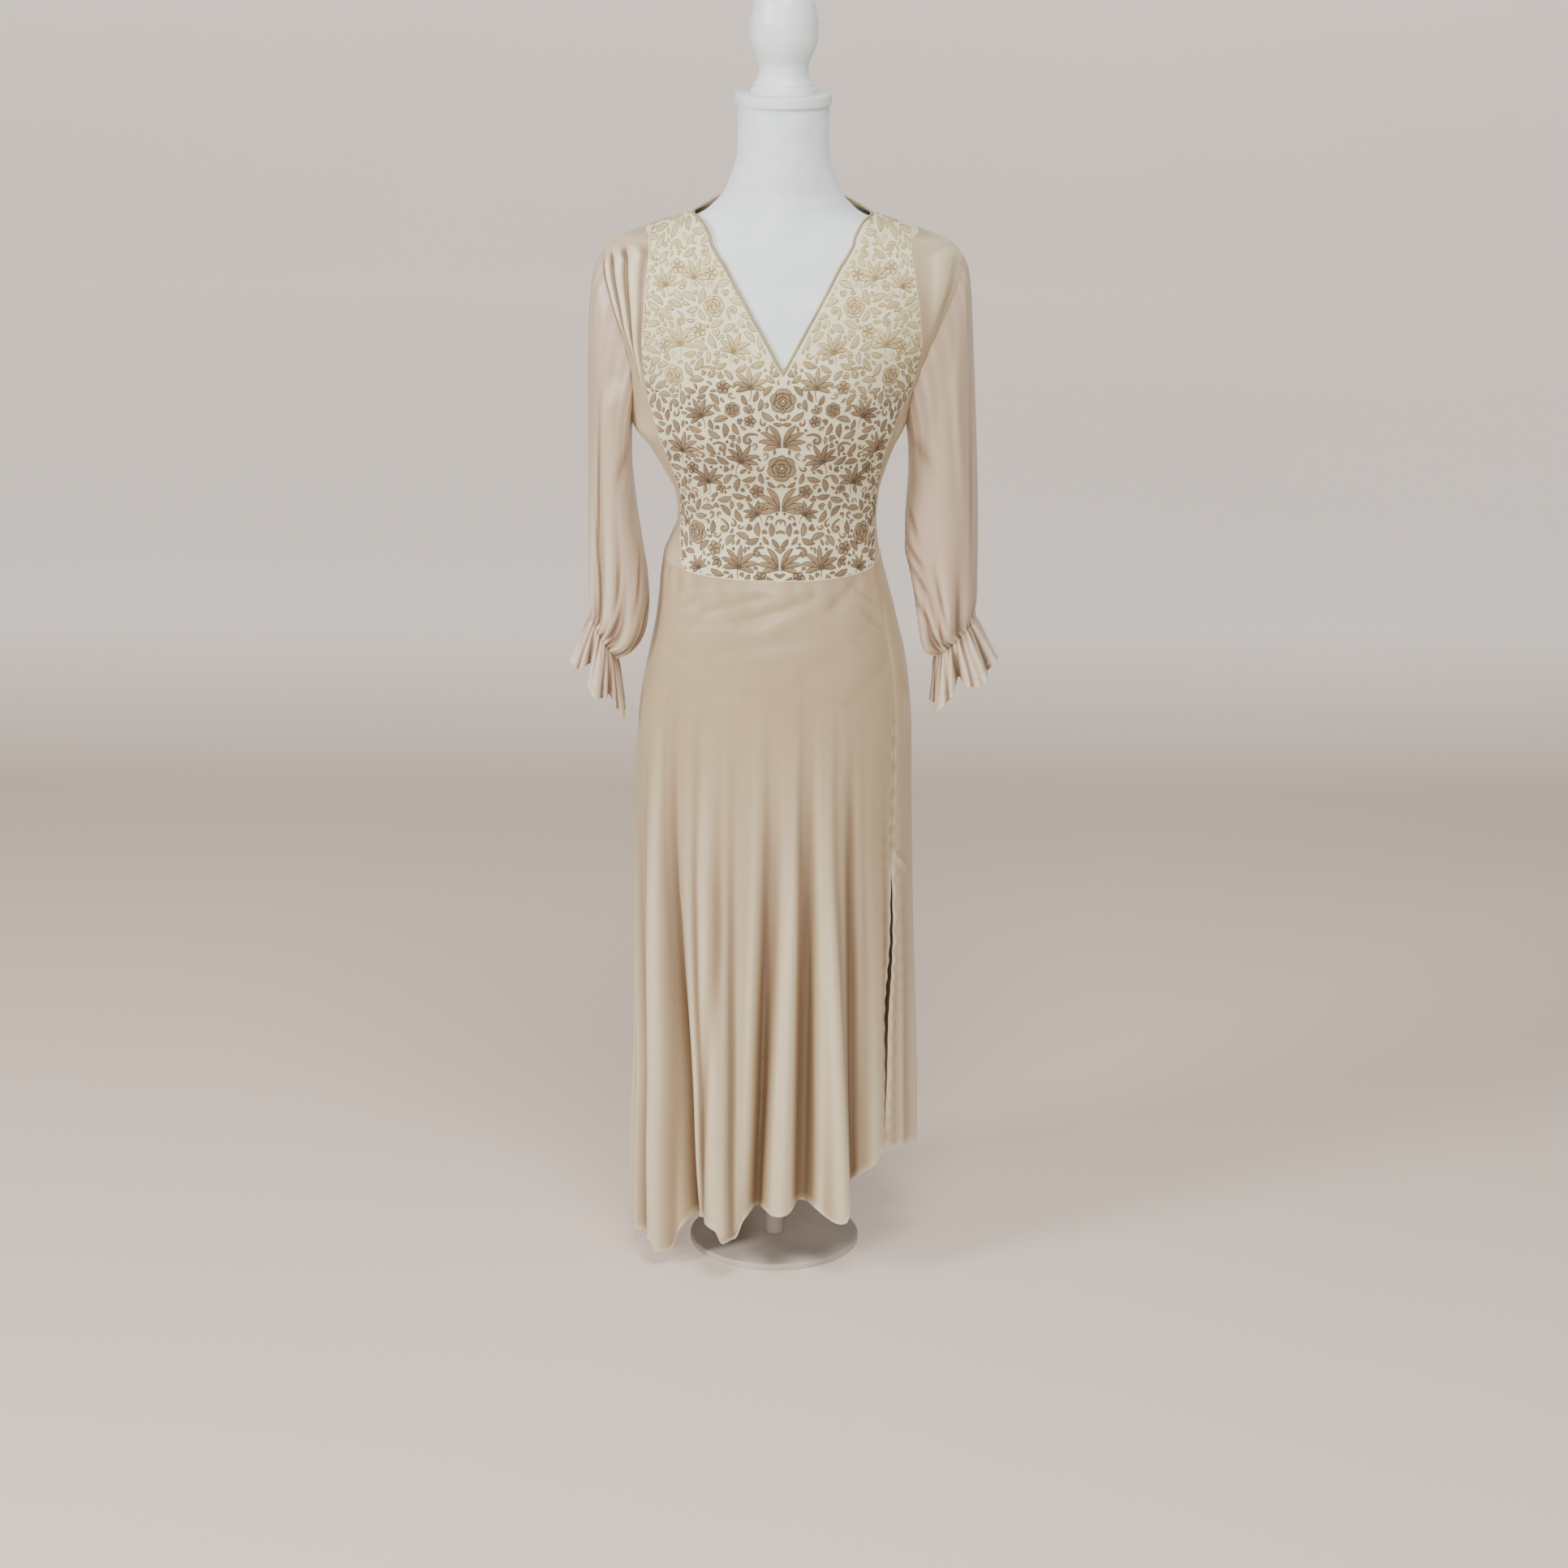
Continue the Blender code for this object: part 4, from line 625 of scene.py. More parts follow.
# how far the hem of a ruffle drops or rises: turn, drop, width
ruffleDrops = {
    "right": [(20, -4, 16), (62, 8, 12), (96, -16, 9), (132, 7, 12), (170, -8, 12), (212, 7, 14), (248, -12, 10), (286, 7, 12), (328, -8, 10)],
    "left": [(22, 4, 14), (55, -20, 9), (84, 9, 12), (116, -6, 8), (146, 8, 12), (186, -9, 12), (226, 7, 14), (264, -12, 10), (300, 7, 12), (336, -8, 10)]}
sleeveSize = {
    "columns": 240, "ringSplit": 9, "gathers": 12, "gatherDepth": 1.6, "fineGathers": 31, "fineDepth": 1.1,
    "ruffleSteps": 26, "hemBand": 9.0, "hemLift": 0.5, "puckerDepth": 1.1, "thickness": 0.8, "gap": 0.25,
}
sleeveTurns = np.arange(sleeveSize["columns"]) * 360.0 / sleeveSize["columns"]


def nearTurn(turn, place):
    return (turn - place + 180.0) % 360.0 - 180.0


def foldWave(folds, turn, share=None):
    total = np.zeros(np.broadcast(turn, 0 if share is None else share).shape)
    for place, push, width, *start in folds:
        grow = 1.0 if share is None else ease((share - start[0]) / (1.0 - start[0]))
        total = total + grow * push * np.exp(-(nearTurn(turn, place) / width) ** 2)
    return total


def slantWave(slants, turn, share):
    total = np.zeros(np.broadcast(turn, share).shape)
    for t0, s0, t1, s1, push, width in slants:
        line = np.array([(t1 - t0), (s1 - s0) * 220.0])
        along = np.clip((nearTurn(turn, t0) * line[0] + (share - s0) * 220.0 * line[1]) / (line @ line), 0, 1)
        away = np.hypot(nearTurn(turn, t0) - along * line[0], (share - s0) * 220.0 - along * line[1])
        total = total + push * np.exp(-(away / width) ** 2) * np.sin(np.pi * (0.08 + 0.84 * along))
    return total


def ringAt(sign, outerX, outerZ, innerX, innerZ, depth, middle, turn, push):
    angle = np.radians(turn)
    outer = np.array([sign * outerX, 0.0, outerZ])
    inner = np.array([sign * innerX, 0.0, innerZ])
    centre, reach = (outer + inner) / 2 + np.array([0.0, middle, 0.0]), (outer - inner) / 2
    flatDepth = np.array([0.0, -depth, 0.0])
    outward = unit(unit(reach) * np.cos(angle)[:, None] + np.array([0.0, -1.0, 0.0]) * np.sin(angle)[:, None])
    return centre + reach * np.cos(angle)[:, None] + flatDepth * np.sin(angle)[:, None] + outward * push[:, None]


def armholeLoop(side):
    low = bodiceSize["lowRows"]
    front = sideGuide(side, "front")[low:]
    back = sideGuide(side, "back")[low:]
    around = np.concatenate([front[::-1], back[1:-1]])
    points = bodyAt(around[:, 0], around[:, 1])
    keys = np.arange(len(points) + 1) * 360.0 / len(points)
    closed = np.concatenate([points, points[:1]])
    return np.stack([np.interp(sleeveTurns, keys, closed[:, axis]) for axis in range(3)], axis=-1)


def sleeveGrid(side):
    rings = sleeveRings[side]
    last = len(rings) - 1
    keys = np.arange(last + 1)
    table = [curveThrough(keys, [ring[i] for ring in rings]) for i in range(6)]
    sign = 1 if side == "right" else -1
    loop = armholeLoop(side)
    start = ringAt(sign, *rings[0], sleeveTurns, np.zeros(len(sleeveTurns)))
    rows = []
    for place in np.linspace(0, last, last * sleeveSize["ringSplit"] + 1):
        share = place / last
        push = foldWave(sleeveFolds[side], sleeveTurns, share) * (1 - ease((share - 0.86) / 0.14))
        push = push + slantWave(sleeveSlants[side], sleeveTurns, share) * ease(share * 10) * ease((1 - share) * 9)
        push = push + sleeveSize["gatherDepth"] * np.cos(np.radians(sleeveTurns * sleeveSize["gathers"])) * ease((share - 0.6) / 0.4)
        wobble = sleeveTurns * sleeveSize["fineGathers"] + 60 * np.sin(np.radians(sleeveTurns * 3))
        push = push + sleeveSize["fineDepth"] * np.cos(np.radians(wobble)) * ease((share - 0.8) / 0.2)
        if side == "right":
            pucker = np.exp(-(nearTurn(sleeveTurns, 166) / 5.0) ** 2) * ease((share - 0.22) / 0.08) * ease((0.9 - share) / 0.1)
            push = push + 1.8 * pucker * np.sin(place * 19.0) - 2.0 * np.exp(-(nearTurn(sleeveTurns, 168) / 1.6) ** 2) * ease((share - 0.2) / 0.1)
        row = ringAt(sign, *[float(t(place)) for t in table], sleeveTurns, push)
        if place < 4:
            row = row + (loop - start) * (1.0 - ease(place / 4))
        rows.append(row)
    return np.array(rows)


def ruffleGrid(side, first):
    hem = ruffleHems[side]
    ring = sleeveRings[side][-1]
    sign = 1 if side == "right" else -1
    rows = [first]
    steps = sleeveSize["ruffleSteps"]
    for step in range(1, steps + 1):
        share = step / steps
        grow = share ** 0.75
        outer = [ring[i] + (hem[i] - ring[i]) * share for i in range(4)]
        middle = [(outer[0] + outer[2]) / 2, (outer[1] + outer[3]) / 2]
        half = [(ring[0] - ring[2] + (hem[0] - hem[2] - ring[0] + ring[2]) * grow) / 2,
                (ring[1] - ring[3] + (hem[1] - hem[3] - ring[1] + ring[3]) * grow) / 2]
        depth = ring[4] + (hem[4] - ring[4]) * grow
        push = foldWave([(p, h, w) for p, h, w in ruffleFolds[side]], sleeveTurns) * share
        push = push + sleeveSize["gatherDepth"] * np.cos(np.radians(sleeveTurns * sleeveSize["gathers"])) * (1 - share) ** 2
        wobble = sleeveTurns * sleeveSize["fineGathers"] + 60 * np.sin(np.radians(sleeveTurns * 3))
        push = push + sleeveSize["fineDepth"] * np.cos(np.radians(wobble)) * (1 - share) ** 1.6
        band = np.exp(-(((1 - share) * 60 - sleeveSize["hemBand"]) / 1.6) ** 2)
        push = push - 0.7 * band + 0.35 * np.sin(np.radians(sleeveTurns * 44)) * band
        drop = foldWave(ruffleDrops[side], sleeveTurns) * share
        way = unit(np.array([sign * (hem[0] + hem[2] - ring[0] - ring[2]), 0.0, hem[1] + hem[3] - ring[1] - ring[3]]))
        rows.append(ringAt(sign, middle[0] + half[0], middle[1] + half[1], middle[0] - half[0], middle[1] - half[1],
                           depth, ring[5], sleeveTurns, push) + drop[:, None] * way)
    return np.array(rows)


def gridNormals(grid, closed, sign):
    around = (np.roll(grid, -1, 1) - np.roll(grid, 1, 1)) if closed else np.gradient(grid, axis=1)
    return sign * unit(np.cross(around, np.gradient(grid, axis=0)))


def makeSleeves():
    for side in ("left", "right"):
        sign = 1 if side == "right" else -1
        sleeve = sleeveGrid(side)
        ruffle = ruffleGrid(side, sleeve[-1])
        sleeveMoves, ruffleMoves = gridNormals(sleeve, True, sign), gridNormals(ruffle, True, sign)
        sleeve = backFromSeams(sleeve, ("bottom", "top"), sleeveSize["gap"])
        ruffle = backFromSeams(ruffle, ("bottom",), sleeveSize["gap"])
        for name, grid, moves, node in (("sleeve", sleeve, sleeveMoves, "sleeve_"), ("cuffRuffle", ruffle, ruffleMoves, "cuff_ruffle_")):
            quads = gridQuads(len(grid) - 1, len(sleeveTurns), closed=True, flip=side == "right")
            key = name + side.capitalize()
            pieces[key] = clothWall(key, grid.reshape(-1, 3), moves.reshape(-1, 3), quads, sleeveSatin, sleeveSize["thickness"],
                                    paintedFoldShade(grid, moves, True, 3, 9, (0.34, 0.08)))
            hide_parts(node + side)


makeSleeves()
print("stage: sleeves made")


# ---- skirt ----
rightSeam = curveThrough(*zip((120, 142), (260, 145), (340, 144), (460, 148), (584, 147), (660, 148), (739, 148),
                              (804, 143), (857, 135), (919, 126), (946, 122)))
hemLine = curveThrough(*zip((-180, 78), (-140, 40), (-112, 18), (-96, 12), (-84, 19), (-72, 26), (-60, 36), (-53, 38),
                            (-50, 22), (-47, 22), (-44, 50), (-40, 68), (-33, 74), (-25, 78), (-21, 76), (-18, 58),
                            (-14, 62), (-11, 86), (-6, 99), (0, 96), (6, 99), (10.5, 108), (15, 101), (23, 85),
                            (26, 88), (28, 108), (31, 122), (36, 134), (42, 148), (48, 166), (54, 164), (60, 162),
                            (75, 156), (90, 146), (115, 128), (145, 106), (180, 78)))
# waves of the hem: turn, rise and width
hemWaves = [(98, 10, 6), (114, -10, 7), (129, 10, 6), (143, -9, 7), (158, 10, 6), (171, -9, 7),
            (184, 11, 6), (198, -10, 7), (213, 10, 6), (227, -8, 7), (241, 9, 6), (254, -6, 6)]
# folds: turn, turn at the hem, push, width, start height
skirtFolds = [
    (-72, -72, -10, 4.5, 700), (-58, -53, 20, 6.5, 790), (-47, -38, -42, 5.5, 800), (-37, -31, 8, 4.5, 760),
    (-28, -22, 24, 5.5, 800), (-23.5, -31, -10, 3.5, 700), (-12, -14, 12, 6.0, 740), (-1.5, -7, -16, 4.0, 690),
    (5.5, 2.5, 18, 5.0, 780), (12.5, 11, -18, 4.0, 760), (20, 26, 30, 6.5, 800), (31, 34, -22, 3.6, 760),
    (44, 44, 6, 6.5, 620), (76, 76, 6, 8.0, 640), (98, 98, -16, 6.5, 700), (113, 114, 22, 7.5, 780),
    (128, 129, -28, 6.0, 760), (143, 143, 20, 7.0, 800), (157, 158, -24, 5.5, 740), (170, 170, 22, 6.5, 790),
    (184, 183, -28, 6.0, 760), (198, 198, 24, 7.0, 800), (212, 213, -26, 6.0, 730), (226, 226, 20, 7.0, 780),
    (240, 240, -24, 6.0, 750), (254, 253, 18, 7.0, 760),
    (-80, -79, 5, 2.4, 760), (-65, -62, -5, 2.2, 780), (-52, -46, -7, 2.0, 850), (-43, -34, 4, 1.8, 820),
    (-33, -29.5, -6, 1.8, 830), (-20, -18, 4, 2.2, 830), (-17, -15.5, -3.5, 1.6, 800), (-8, -10, 4, 1.8, 820),
    (-3.5, -6.5, -5, 1.5, 850), (2, -1, 3, 1.5, 820), (9, 8, -6, 1.6, 860), (16, 17, 5, 2.0, 850),
    (24, 30, -7, 2.0, 840), (29, 36, 3.5, 2.0, 790), (38, 39, -3.5, 2.2, 800), (51, 51, -3, 2.2, 760),
    (62, 62, 3.5, 3.0, 700), (84, 84, -4, 2.6, 720), (106, 106, 4, 2.4, 760), (121, 121, -5, 2.2, 790),
    (136, 136, 4, 2.2, 780), (150, 150, -5, 2.0, 800), (164, 164, 5, 2.0, 780), (177, 177, -5, 2.2, 800),
    (191, 191, 4, 2.2, 770), (205, 205, -5, 2.0, 800), (219, 219, 4, 2.2, 780), (233, 233, -5, 2.0, 790),
    (247, 247, 4, 2.2, 770), (263, 263, -4, 2.4, 750)]
# diagonal folds under the waist, then faint bias creases over the hips: turn and height at each end, depth, width
dragFolds = [
    (-36, 888, -10, 909, 2.4, 8), (-18, 876, 14, 912, 2.6, 9), (26, 896, 44, 925, 2.2, 8), (-54, 910, -36, 920, 1.8, 7),
    (-30, 906, -4, 921, -1.4, 7), (-8, 896, 18, 921, -1.4, 7), (-46, 900, -24, 911, 1.2, 7), (2, 868, 28, 897, 1.0, 9),
    (-44, 868, -8, 884, 1.0, 6), (-30, 838, 22, 866, 1.2, 9), (10, 820, 52, 872, 1.1, 9), (-58, 838, -22, 812, 1.0, 8),
    (-10, 790, 40, 836, 1.0, 9), (30, 772, 60, 826, 1.1, 8), (-66, 884, -44, 896, 1.4, 5), (-62, 860, -40, 872, 1.0, 5),
    (54, 898, 44, 912, 1.6, 4), (58, 860, 46, 884, 1.2, 5), (-40, 760, 0, 800, -0.9, 10), (120, 900, 160, 872, 2.2, 8),
    (200, 872, 242, 900, 2.2, 8), (150, 846, 212, 838, 1.4, 9), (105, 850, 140, 818, 1.6, 8), (218, 812, 256, 846, 1.6, 8)]
skirtSize = {
    "frontColumns": 240, "backColumns": 190, "rows": 150, "slitTop": 556.0, "slitWidth": 8.0, "hemRoll": 1.7,
    "hemWidth": 5.0, "thickness": 0.9, "gap": 0.15, "gathers": 0.8, "pucker": 1.9,
}


def hemAt(turn):
    waves = sum(rise * np.exp(-(nearTurn(turn, place) / width) ** 2) for place, rise, width in hemWaves)
    return hemLine(nearTurn(turn, 0.0)) + waves


def skirtShape(turn, height):
    return oval(np.asarray(turn, float), np.asarray(height, float), skirt)


def skirtFoldAt(turn, height, hem):
    total = np.zeros(np.broadcast(turn, height).shape)
    for place, hemTurn, push, width, start in skirtFolds:
        down = (start - height) / (start - hem)
        centre = place + (hemTurn - place) * np.maximum(0.0, down * 1.6 - 0.6)
        away = nearTurn(turn, centre) / width
        total = total + np.where(down > 0, push * ease(down * 1.15) * np.exp(-away ** 2), 0.0)
    for t0, h0, t1, h1, depth, width in dragFolds:
        line = np.array([(t1 - t0) * 1.9, h1 - h0])
        here0, here1 = nearTurn(turn, t0) * 1.9, height - h0
        along = np.clip((here0 * line[0] + here1 * line[1]) / (line @ line), 0, 1)
        total = total - depth * np.exp(-((here0 - along * line[0]) ** 2 + (here1 - along * line[1]) ** 2) / width ** 2)
    # cloth turned out at the top of the slit
    start = float(seamTurn(560.0)) + 1.0
    line, here = np.array([26.0, -26.0]), np.stack([nearTurn(turn, start) * 2.2, height - 562.0], axis=-1)
    away = here - np.clip((here @ line) / (line @ line), 0, 1)[..., None] * line
    total = total + 3.0 * np.exp(-np.sum(away ** 2, axis=-1) / 14.0)
    near = ease((height - waistHeight(turn) + 46) / 46.0)
    gather = np.cos(np.radians(turn * 30 + 70 * np.sin(np.radians(turn * 4)))) * (0.35 + 0.65 * np.exp(-((nearTurn(turn, -52)) / 16) ** 2))
    total = total + skirtSize["gathers"] * gather * near * 1.4
    return total


def seamTurn(height):
    x = rightSeam(height)
    return np.degrees(np.arcsin(np.clip(x / skirt["right"](height), 0, 1) ** (skirt["square"](height) / 2)))


def skirtAt(turn, height, hem):
    base = skirtShape(turn, height)
    flat = normalsAt(skirtShape, turn, height) * np.array([1.0, 1.0, 0.0])
    fade = ease((waistHeight(turn) - height) / 12.0)
    push = skirtFoldAt(turn, height, hem)
    # puckered right seam and slit edge, then the rolled hem
    side = nearTurn(turn, seamTurn(height))
    seam = np.exp(-(side / 2.4) ** 2) * (1 - np.exp(-(side / 1.3) ** 2)) * ease((760 - height) / 40.0)
    push = push + skirtSize["pucker"] * seam * np.sin(height / 4.2 + 2.0 * np.sin(height / 31.0)) - 1.2 * np.exp(-(side / 0.7) ** 2) * ease((900 - height) / 40.0)
    up = height - hem
    wobble = 1.0 + 0.45 * np.sin(np.radians(turn * 31)) + 0.3 * np.sin(np.radians(turn * 53 + 40))
    push = push + skirtSize["hemRoll"] * wobble * np.exp(-((up - 1.6) / 2.2) ** 2) - 0.6 * np.exp(-((up - skirtSize["hemWidth"] - 1.6) / 1.2) ** 2)
    return base + (fade * push)[..., None] * unit(flat)


def makeSkirt(name, node, first, second, columns, slitLast):
    across = np.linspace(0, 1, columns + 1)[None, :]
    share = (np.linspace(0, 1, skirtSize["rows"] + 1) ** 1.0)[:, None]
    foot = 1 - (1 - share) ** 1.0
    height = np.full((skirtSize["rows"] + 1, columns + 1), 700.0)
    for _ in range(6):
        turn = first(height) + (second(height) - first(height)) * across
        hem = hemAt(turn)
        height = waistHeight(turn) + (hem - waistHeight(turn)) * foot
    grid = skirtAt(turn, height, hem)
    ahead, behind = skirtAt(turn + 0.4, height, hem), skirtAt(turn - 0.4, height, hem)
    above, below = skirtAt(turn, height + 1.0, hem), skirtAt(turn, height - 1.0, hem)
    normals = unit(np.cross(ahead - behind, above - below))
    grid = backFromSeams(grid, ("bottom", "first", "last"), skirtSize["gap"])
    column = -1 if slitLast else 0
    inner = -2 if slitLast else 1
    tall = height[:, column]
    opened = np.where(tall < skirtSize["slitTop"], ease((skirtSize["slitTop"] - tall) / 50.0) * (0.66 + 0.3 * np.cos(tall / 62.0)), 0.0)
    way = unit(grid[:, inner] - grid[:, column])
    for step in range(6):
        index = column - step if slitLast else column + step
        grid[:, index] += way * (skirtSize["slitWidth"] / 2 * opened * (1 - step / 6.0))[:, None]
    quads = gridQuads(skirtSize["rows"], columns, flip=True)
    tone = paintedFoldShade(grid, normals, False, 3, 9, (0.14, 0.038))
    # painted highlight along the rolled hem and the slit edges, on top of the painted fold shade
    paintedHemHighlight = np.exp(-((height - hem) / 5.0) ** 2)
    edge = np.exp(-(nearTurn(turn, seamTurn(height)) / 1.6) ** 2) * ease((skirtSize["slitTop"] + 10 - height) / 20.0)
    tone = np.clip(tone + 0.35 * paintedHemHighlight + 0.4 * edge, 0.0, 1.0)
    pieces[name] = clothWall(name, grid.reshape(-1, 3), normals.reshape(-1, 3), quads, satin, skirtSize["thickness"], tone)
    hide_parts(node)


makeSkirt("skirtFront", "skirt_front", lambda h: -90.0 + 0 * h, seamTurn, skirtSize["frontColumns"], True)
makeSkirt("skirtBack", "skirt_back", seamTurn, lambda h: 270.0 + 0 * h, skirtSize["backColumns"], False)
print("stage: skirt made")


# ---- piping ----
pipingSize = {"wide": 3.6, "thick": 2.8, "sides": 12, "gap": 0.37, "cloth": 1.6}


def makeCord(name, node, guide, toward, cuts):
    points, normals = bodyAt(guide[:, 0], guide[:, 1]), normalsAt(bodyAt, guide[:, 0], guide[:, 1])
    along = unit(np.gradient(points, axis=0))
    outward = unit(normals - np.sum(normals * along, axis=-1, keepdims=True) * along)
    sideways = np.cross(along, outward)
    reach = pipingSize["wide"] / 2 + pipingSize["gap"]
    path = points - pipingSize["cloth"] / 2 * outward + toward * reach * sideways
    angle = np.arange(pipingSize["sides"]) * 2 * np.pi / pipingSize["sides"]
    twist = 1.0 + 0.05 * np.sin(np.arange(len(path)) * 1.7)
    rings = (path[:, None] + (pipingSize["wide"] / 2 * twist[:, None] * np.cos(angle)[None, :])[..., None] * sideways[:, None]
             + (pipingSize["thick"] / 2 * twist[:, None] * np.sin(angle)[None, :])[..., None] * outward[:, None])
    for end, inner, (axis, value) in ((0, 1, cuts[0]), (-1, -2, cuts[1])):
        direction = path[end] - path[inner]
        rings[end] = rings[inner] + direction * ((value - rings[inner][:, axis]) / direction[axis])[:, None]
    count = pipingSize["sides"]
    flat = rings.reshape(-1, 3)
    faces = [(r * count + i, (r + 1) * count + i, (r + 1) * count + (i + 1) % count, r * count + (i + 1) % count)
             for r in range(len(path) - 1) for i in range(count)]
    faces += [tuple(range(count)), tuple(reversed(range((len(path) - 1) * count, len(path) * count)))]
    pieces[name] = buildMesh(name, flat, faces, pipingCloth)
    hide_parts(node)


def makePiping():
    for side in ("left", "right"):
        sign = 1 if side == "left" else -1
        makeCord("neckPiping" + side.capitalize(), "neck_piping_" + side, finer(neckGuide(side)), sign,
                 ((0, bodiceSize["vPointX"] - sign * 0.2), (1, -0.17)))
    right, left = finer(backNeckGuide("right")), finer(backNeckGuide("left"))
    left[:, 0] += 360.0
    turn, height = strip(np.array([right[-1]] * 2), np.array([left[-1]] * 2), 40,
                         bodiceSize["backNeckHeight"] - bodiceSize["neckPointHeight"])
    makeCord("neckBindingBack", "neck_binding_back", np.stack([turn[1], height[1]], axis=-1), -1, ((1, 0.17), (1, 0.17)))


makePiping()
print("stage: piping made")


# ---- dress form cover, wood and stand ----
formHeights = [640, 646, 690, 745, 800, 860, 910, 960, 1000, 1045, 1090, 1135, 1180, 1225, 1265, 1298, 1320, 1334,
               1344, 1353, 1362, 1371, 1379, 1387, 1397, 1412, 1432, 1465, 1508.6]
# soft wrinkles of the jersey on the neck: turn and height at each end, depth, width
neckWrinkles = [(-34, 1488, -2, 1474, 2.4, 5), (-22, 1462, 16, 1450, 2.2, 5), (6, 1480, 34, 1494, 1.6, 4), (-16, 1440, 12, 1432, 1.6, 4),
                (-48, 1446, -20, 1432, 1.1, 4), (26, 1452, 52, 1436, 1.0, 4), (120, 1490, 160, 1460, 1.4, 5),
                (180, 1452, 220, 1440, 1.3, 5), (230, 1486, 260, 1468, 1.2, 5)]


def makeForm():
    columns = 120
    keys = np.arange(len(formHeights))
    levels = np.interp(np.linspace(0, keys[-1], keys[-1] * 5 + 1), keys, formHeights)
    turn = (np.arange(columns) * 360.0 / columns)[None, :] * np.ones((len(levels), 1))
    height = levels[:, None] * np.ones((1, columns))
    normal = normalsAt(formAt, turn, np.minimum(height, 1507.6))
    flat = unit(normal * np.array([1.0, 1.0, 0.0]))
    mix = np.where((height < 700) | (height > 1440), 1.0, 0.0)[..., None]
    normal = normal * (1 - mix) + flat * mix
    inset = 4.0 + 8.0 * ease((646 - height) / 6.0) + 3.6 * ease((height - 1335) / 25.0) * ease((1425 - height) / 28.0)
    for t0, h0, t1, h1, depth, width in neckWrinkles:
        line = np.array([t1 - t0, h1 - h0])
        here = np.stack([nearTurn(turn, t0), height - h0], axis=-1)
        along = np.clip((here @ line) / (line @ line), 0, 1)
        away = here - along[..., None] * line
        inset = inset - depth * np.exp(-np.sum(away ** 2, axis=-1) / width ** 2)
    grid = formAt(turn, height) - inset[..., None] * normal
    count = len(levels)
    faces = gridQuads(count - 1, columns, closed=True)
    faces = [tuple(face) for face in faces]
    faces += [tuple(reversed(range(columns))), tuple(range((count - 1) * columns, count * columns))]
    pieces["formBody"] = buildMesh("formBody", grid.reshape(-1, 3), faces, jersey)
    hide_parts("form_body")


def makeTurned(name, node, profile, material, columns=96):
    angle = np.arange(columns) * 2 * np.pi / columns
    ring = np.stack([np.cos(angle), np.sin(angle)], axis=-1)
    points = np.concatenate([np.concatenate([r * ring, np.full((columns, 1), z)], axis=1) for r, z in profile])
    faces = gridQuads(len(profile) - 1, columns, closed=True)
    faces += [tuple(reversed(range(columns))), tuple(range((len(profile) - 1) * columns, len(profile) * columns))]
    pieces[name] = buildMesh(name, points, faces, material, angle=32.0)
    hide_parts(node)


def roundOver(radius, height, size, upward, steps=5):
    sign = 1 if upward else -1
    order = range(steps + 1) if upward else range(steps, -1, -1)
    return [(radius - size + size * math.cos(a * math.pi / 2 / steps),
             height - sign * size + sign * size * math.sin(a * math.pi / 2 / steps)) for a in order]


finialRings = [(41.0, 0.0), (41.0, 5.0), (38.0, 8.5), (37.5, 12.0), (33.5, 17.0), (30.5, 25.0), (30.5, 33.0), (34.0, 43.0),
               (39.0, 55.0), (42.0, 70.0), (42.0, 84.0), (39.5, 99.0), (37.5, 110.0), (33.0, 119.0), (25.0, 127.0),
               (14.0, 132.5), (4.0, 134.5)]


def makeStand():
    capLow, capHigh = 1508.94, 1521.94
    makeTurned("neckCap", "form_neck_cap", roundOver(59.7, capLow, 1.6, False) + roundOver(59.7, capHigh, 1.8, True), paintedWood)
    low = capHigh + 0.34
    radius = curveThrough([h for r, h in finialRings], [r for r, h in finialRings])
    heights = np.unique(np.concatenate([np.linspace(0, 134.5, 90), [r[1] for r in finialRings]]))
    groove = sum(0.8 * np.exp(-((heights - place) / 0.8) ** 2) for place in (6.6, 9.8, 13.6))
    makeTurned("finial", "form_finial", list(zip(radius(heights) - groove, low + heights)), paintedWood)
    makeTurned("standBase", "stand_base", [(110.8, 0.0), (112.0, 1.2)] + roundOver(112.0, 9.0, 3.0, True), paintedSteel)
    top = 640.0 - 0.34
    makeTurned("standPole", "stand_pole", [(12.0, 9.34), (12.5, 9.9), (12.5, top - 6.6), (14.5, top - 6.2), (33.0, top - 6.0),
                                           (34.0, top - 5.0), (34.0, top - 0.8), (33.2, top)], paintedSteel)


makeForm()
makeStand()
print("stage: form and stand made")


# ---- embroidery of the front panel: ordinary leaves, sprays, scrolls and flowers, mirrored about the centre ----
stitchSize = {
    "seed": 7, "fillRaise": 0.75, "outlineRaise": 0.95, "outlineWidth": 1.0, "veinWidth": 0.8, "space": 0.4,
    "edge": 1.6, "tries": 24000,
}


class Stitches:  # ribbons of thread: centre line, half width at each point, shade and whether it has a vein
    def __init__(self):
        self.ribbons = []

    def add(self, line, half, shade, vein=False, outline=True):
        self.ribbons.append((np.asarray(line, float), np.asarray(half, float), shade, vein, outline))


def arcLine(base, angle, length, bend, count=9):
    steps = (np.arange(count - 1) + 0.5) / (count - 1)
    headings = np.radians(angle + bend * (steps - 0.25))
    moves = np.stack([np.cos(headings), np.sin(headings)], axis=-1) * length / (count - 1)
    return np.concatenate([[np.array(base, float)], np.array(base, float) + np.cumsum(moves, axis=0)])


def leafShape(out, base, angle, length, width, bend=25, blunt=0.0, shade=0.5, vein=None):
    share = np.linspace(0, 1, 9)
    pointed = np.sin(np.pi * share ** (0.85 + 0.5 * blunt)) ** 0.85
    half = np.maximum(width / 2 * pointed, 0.18)
    out.add(arcLine(base, angle, length, bend), half, shade, length > 11 if vein is None else vein)


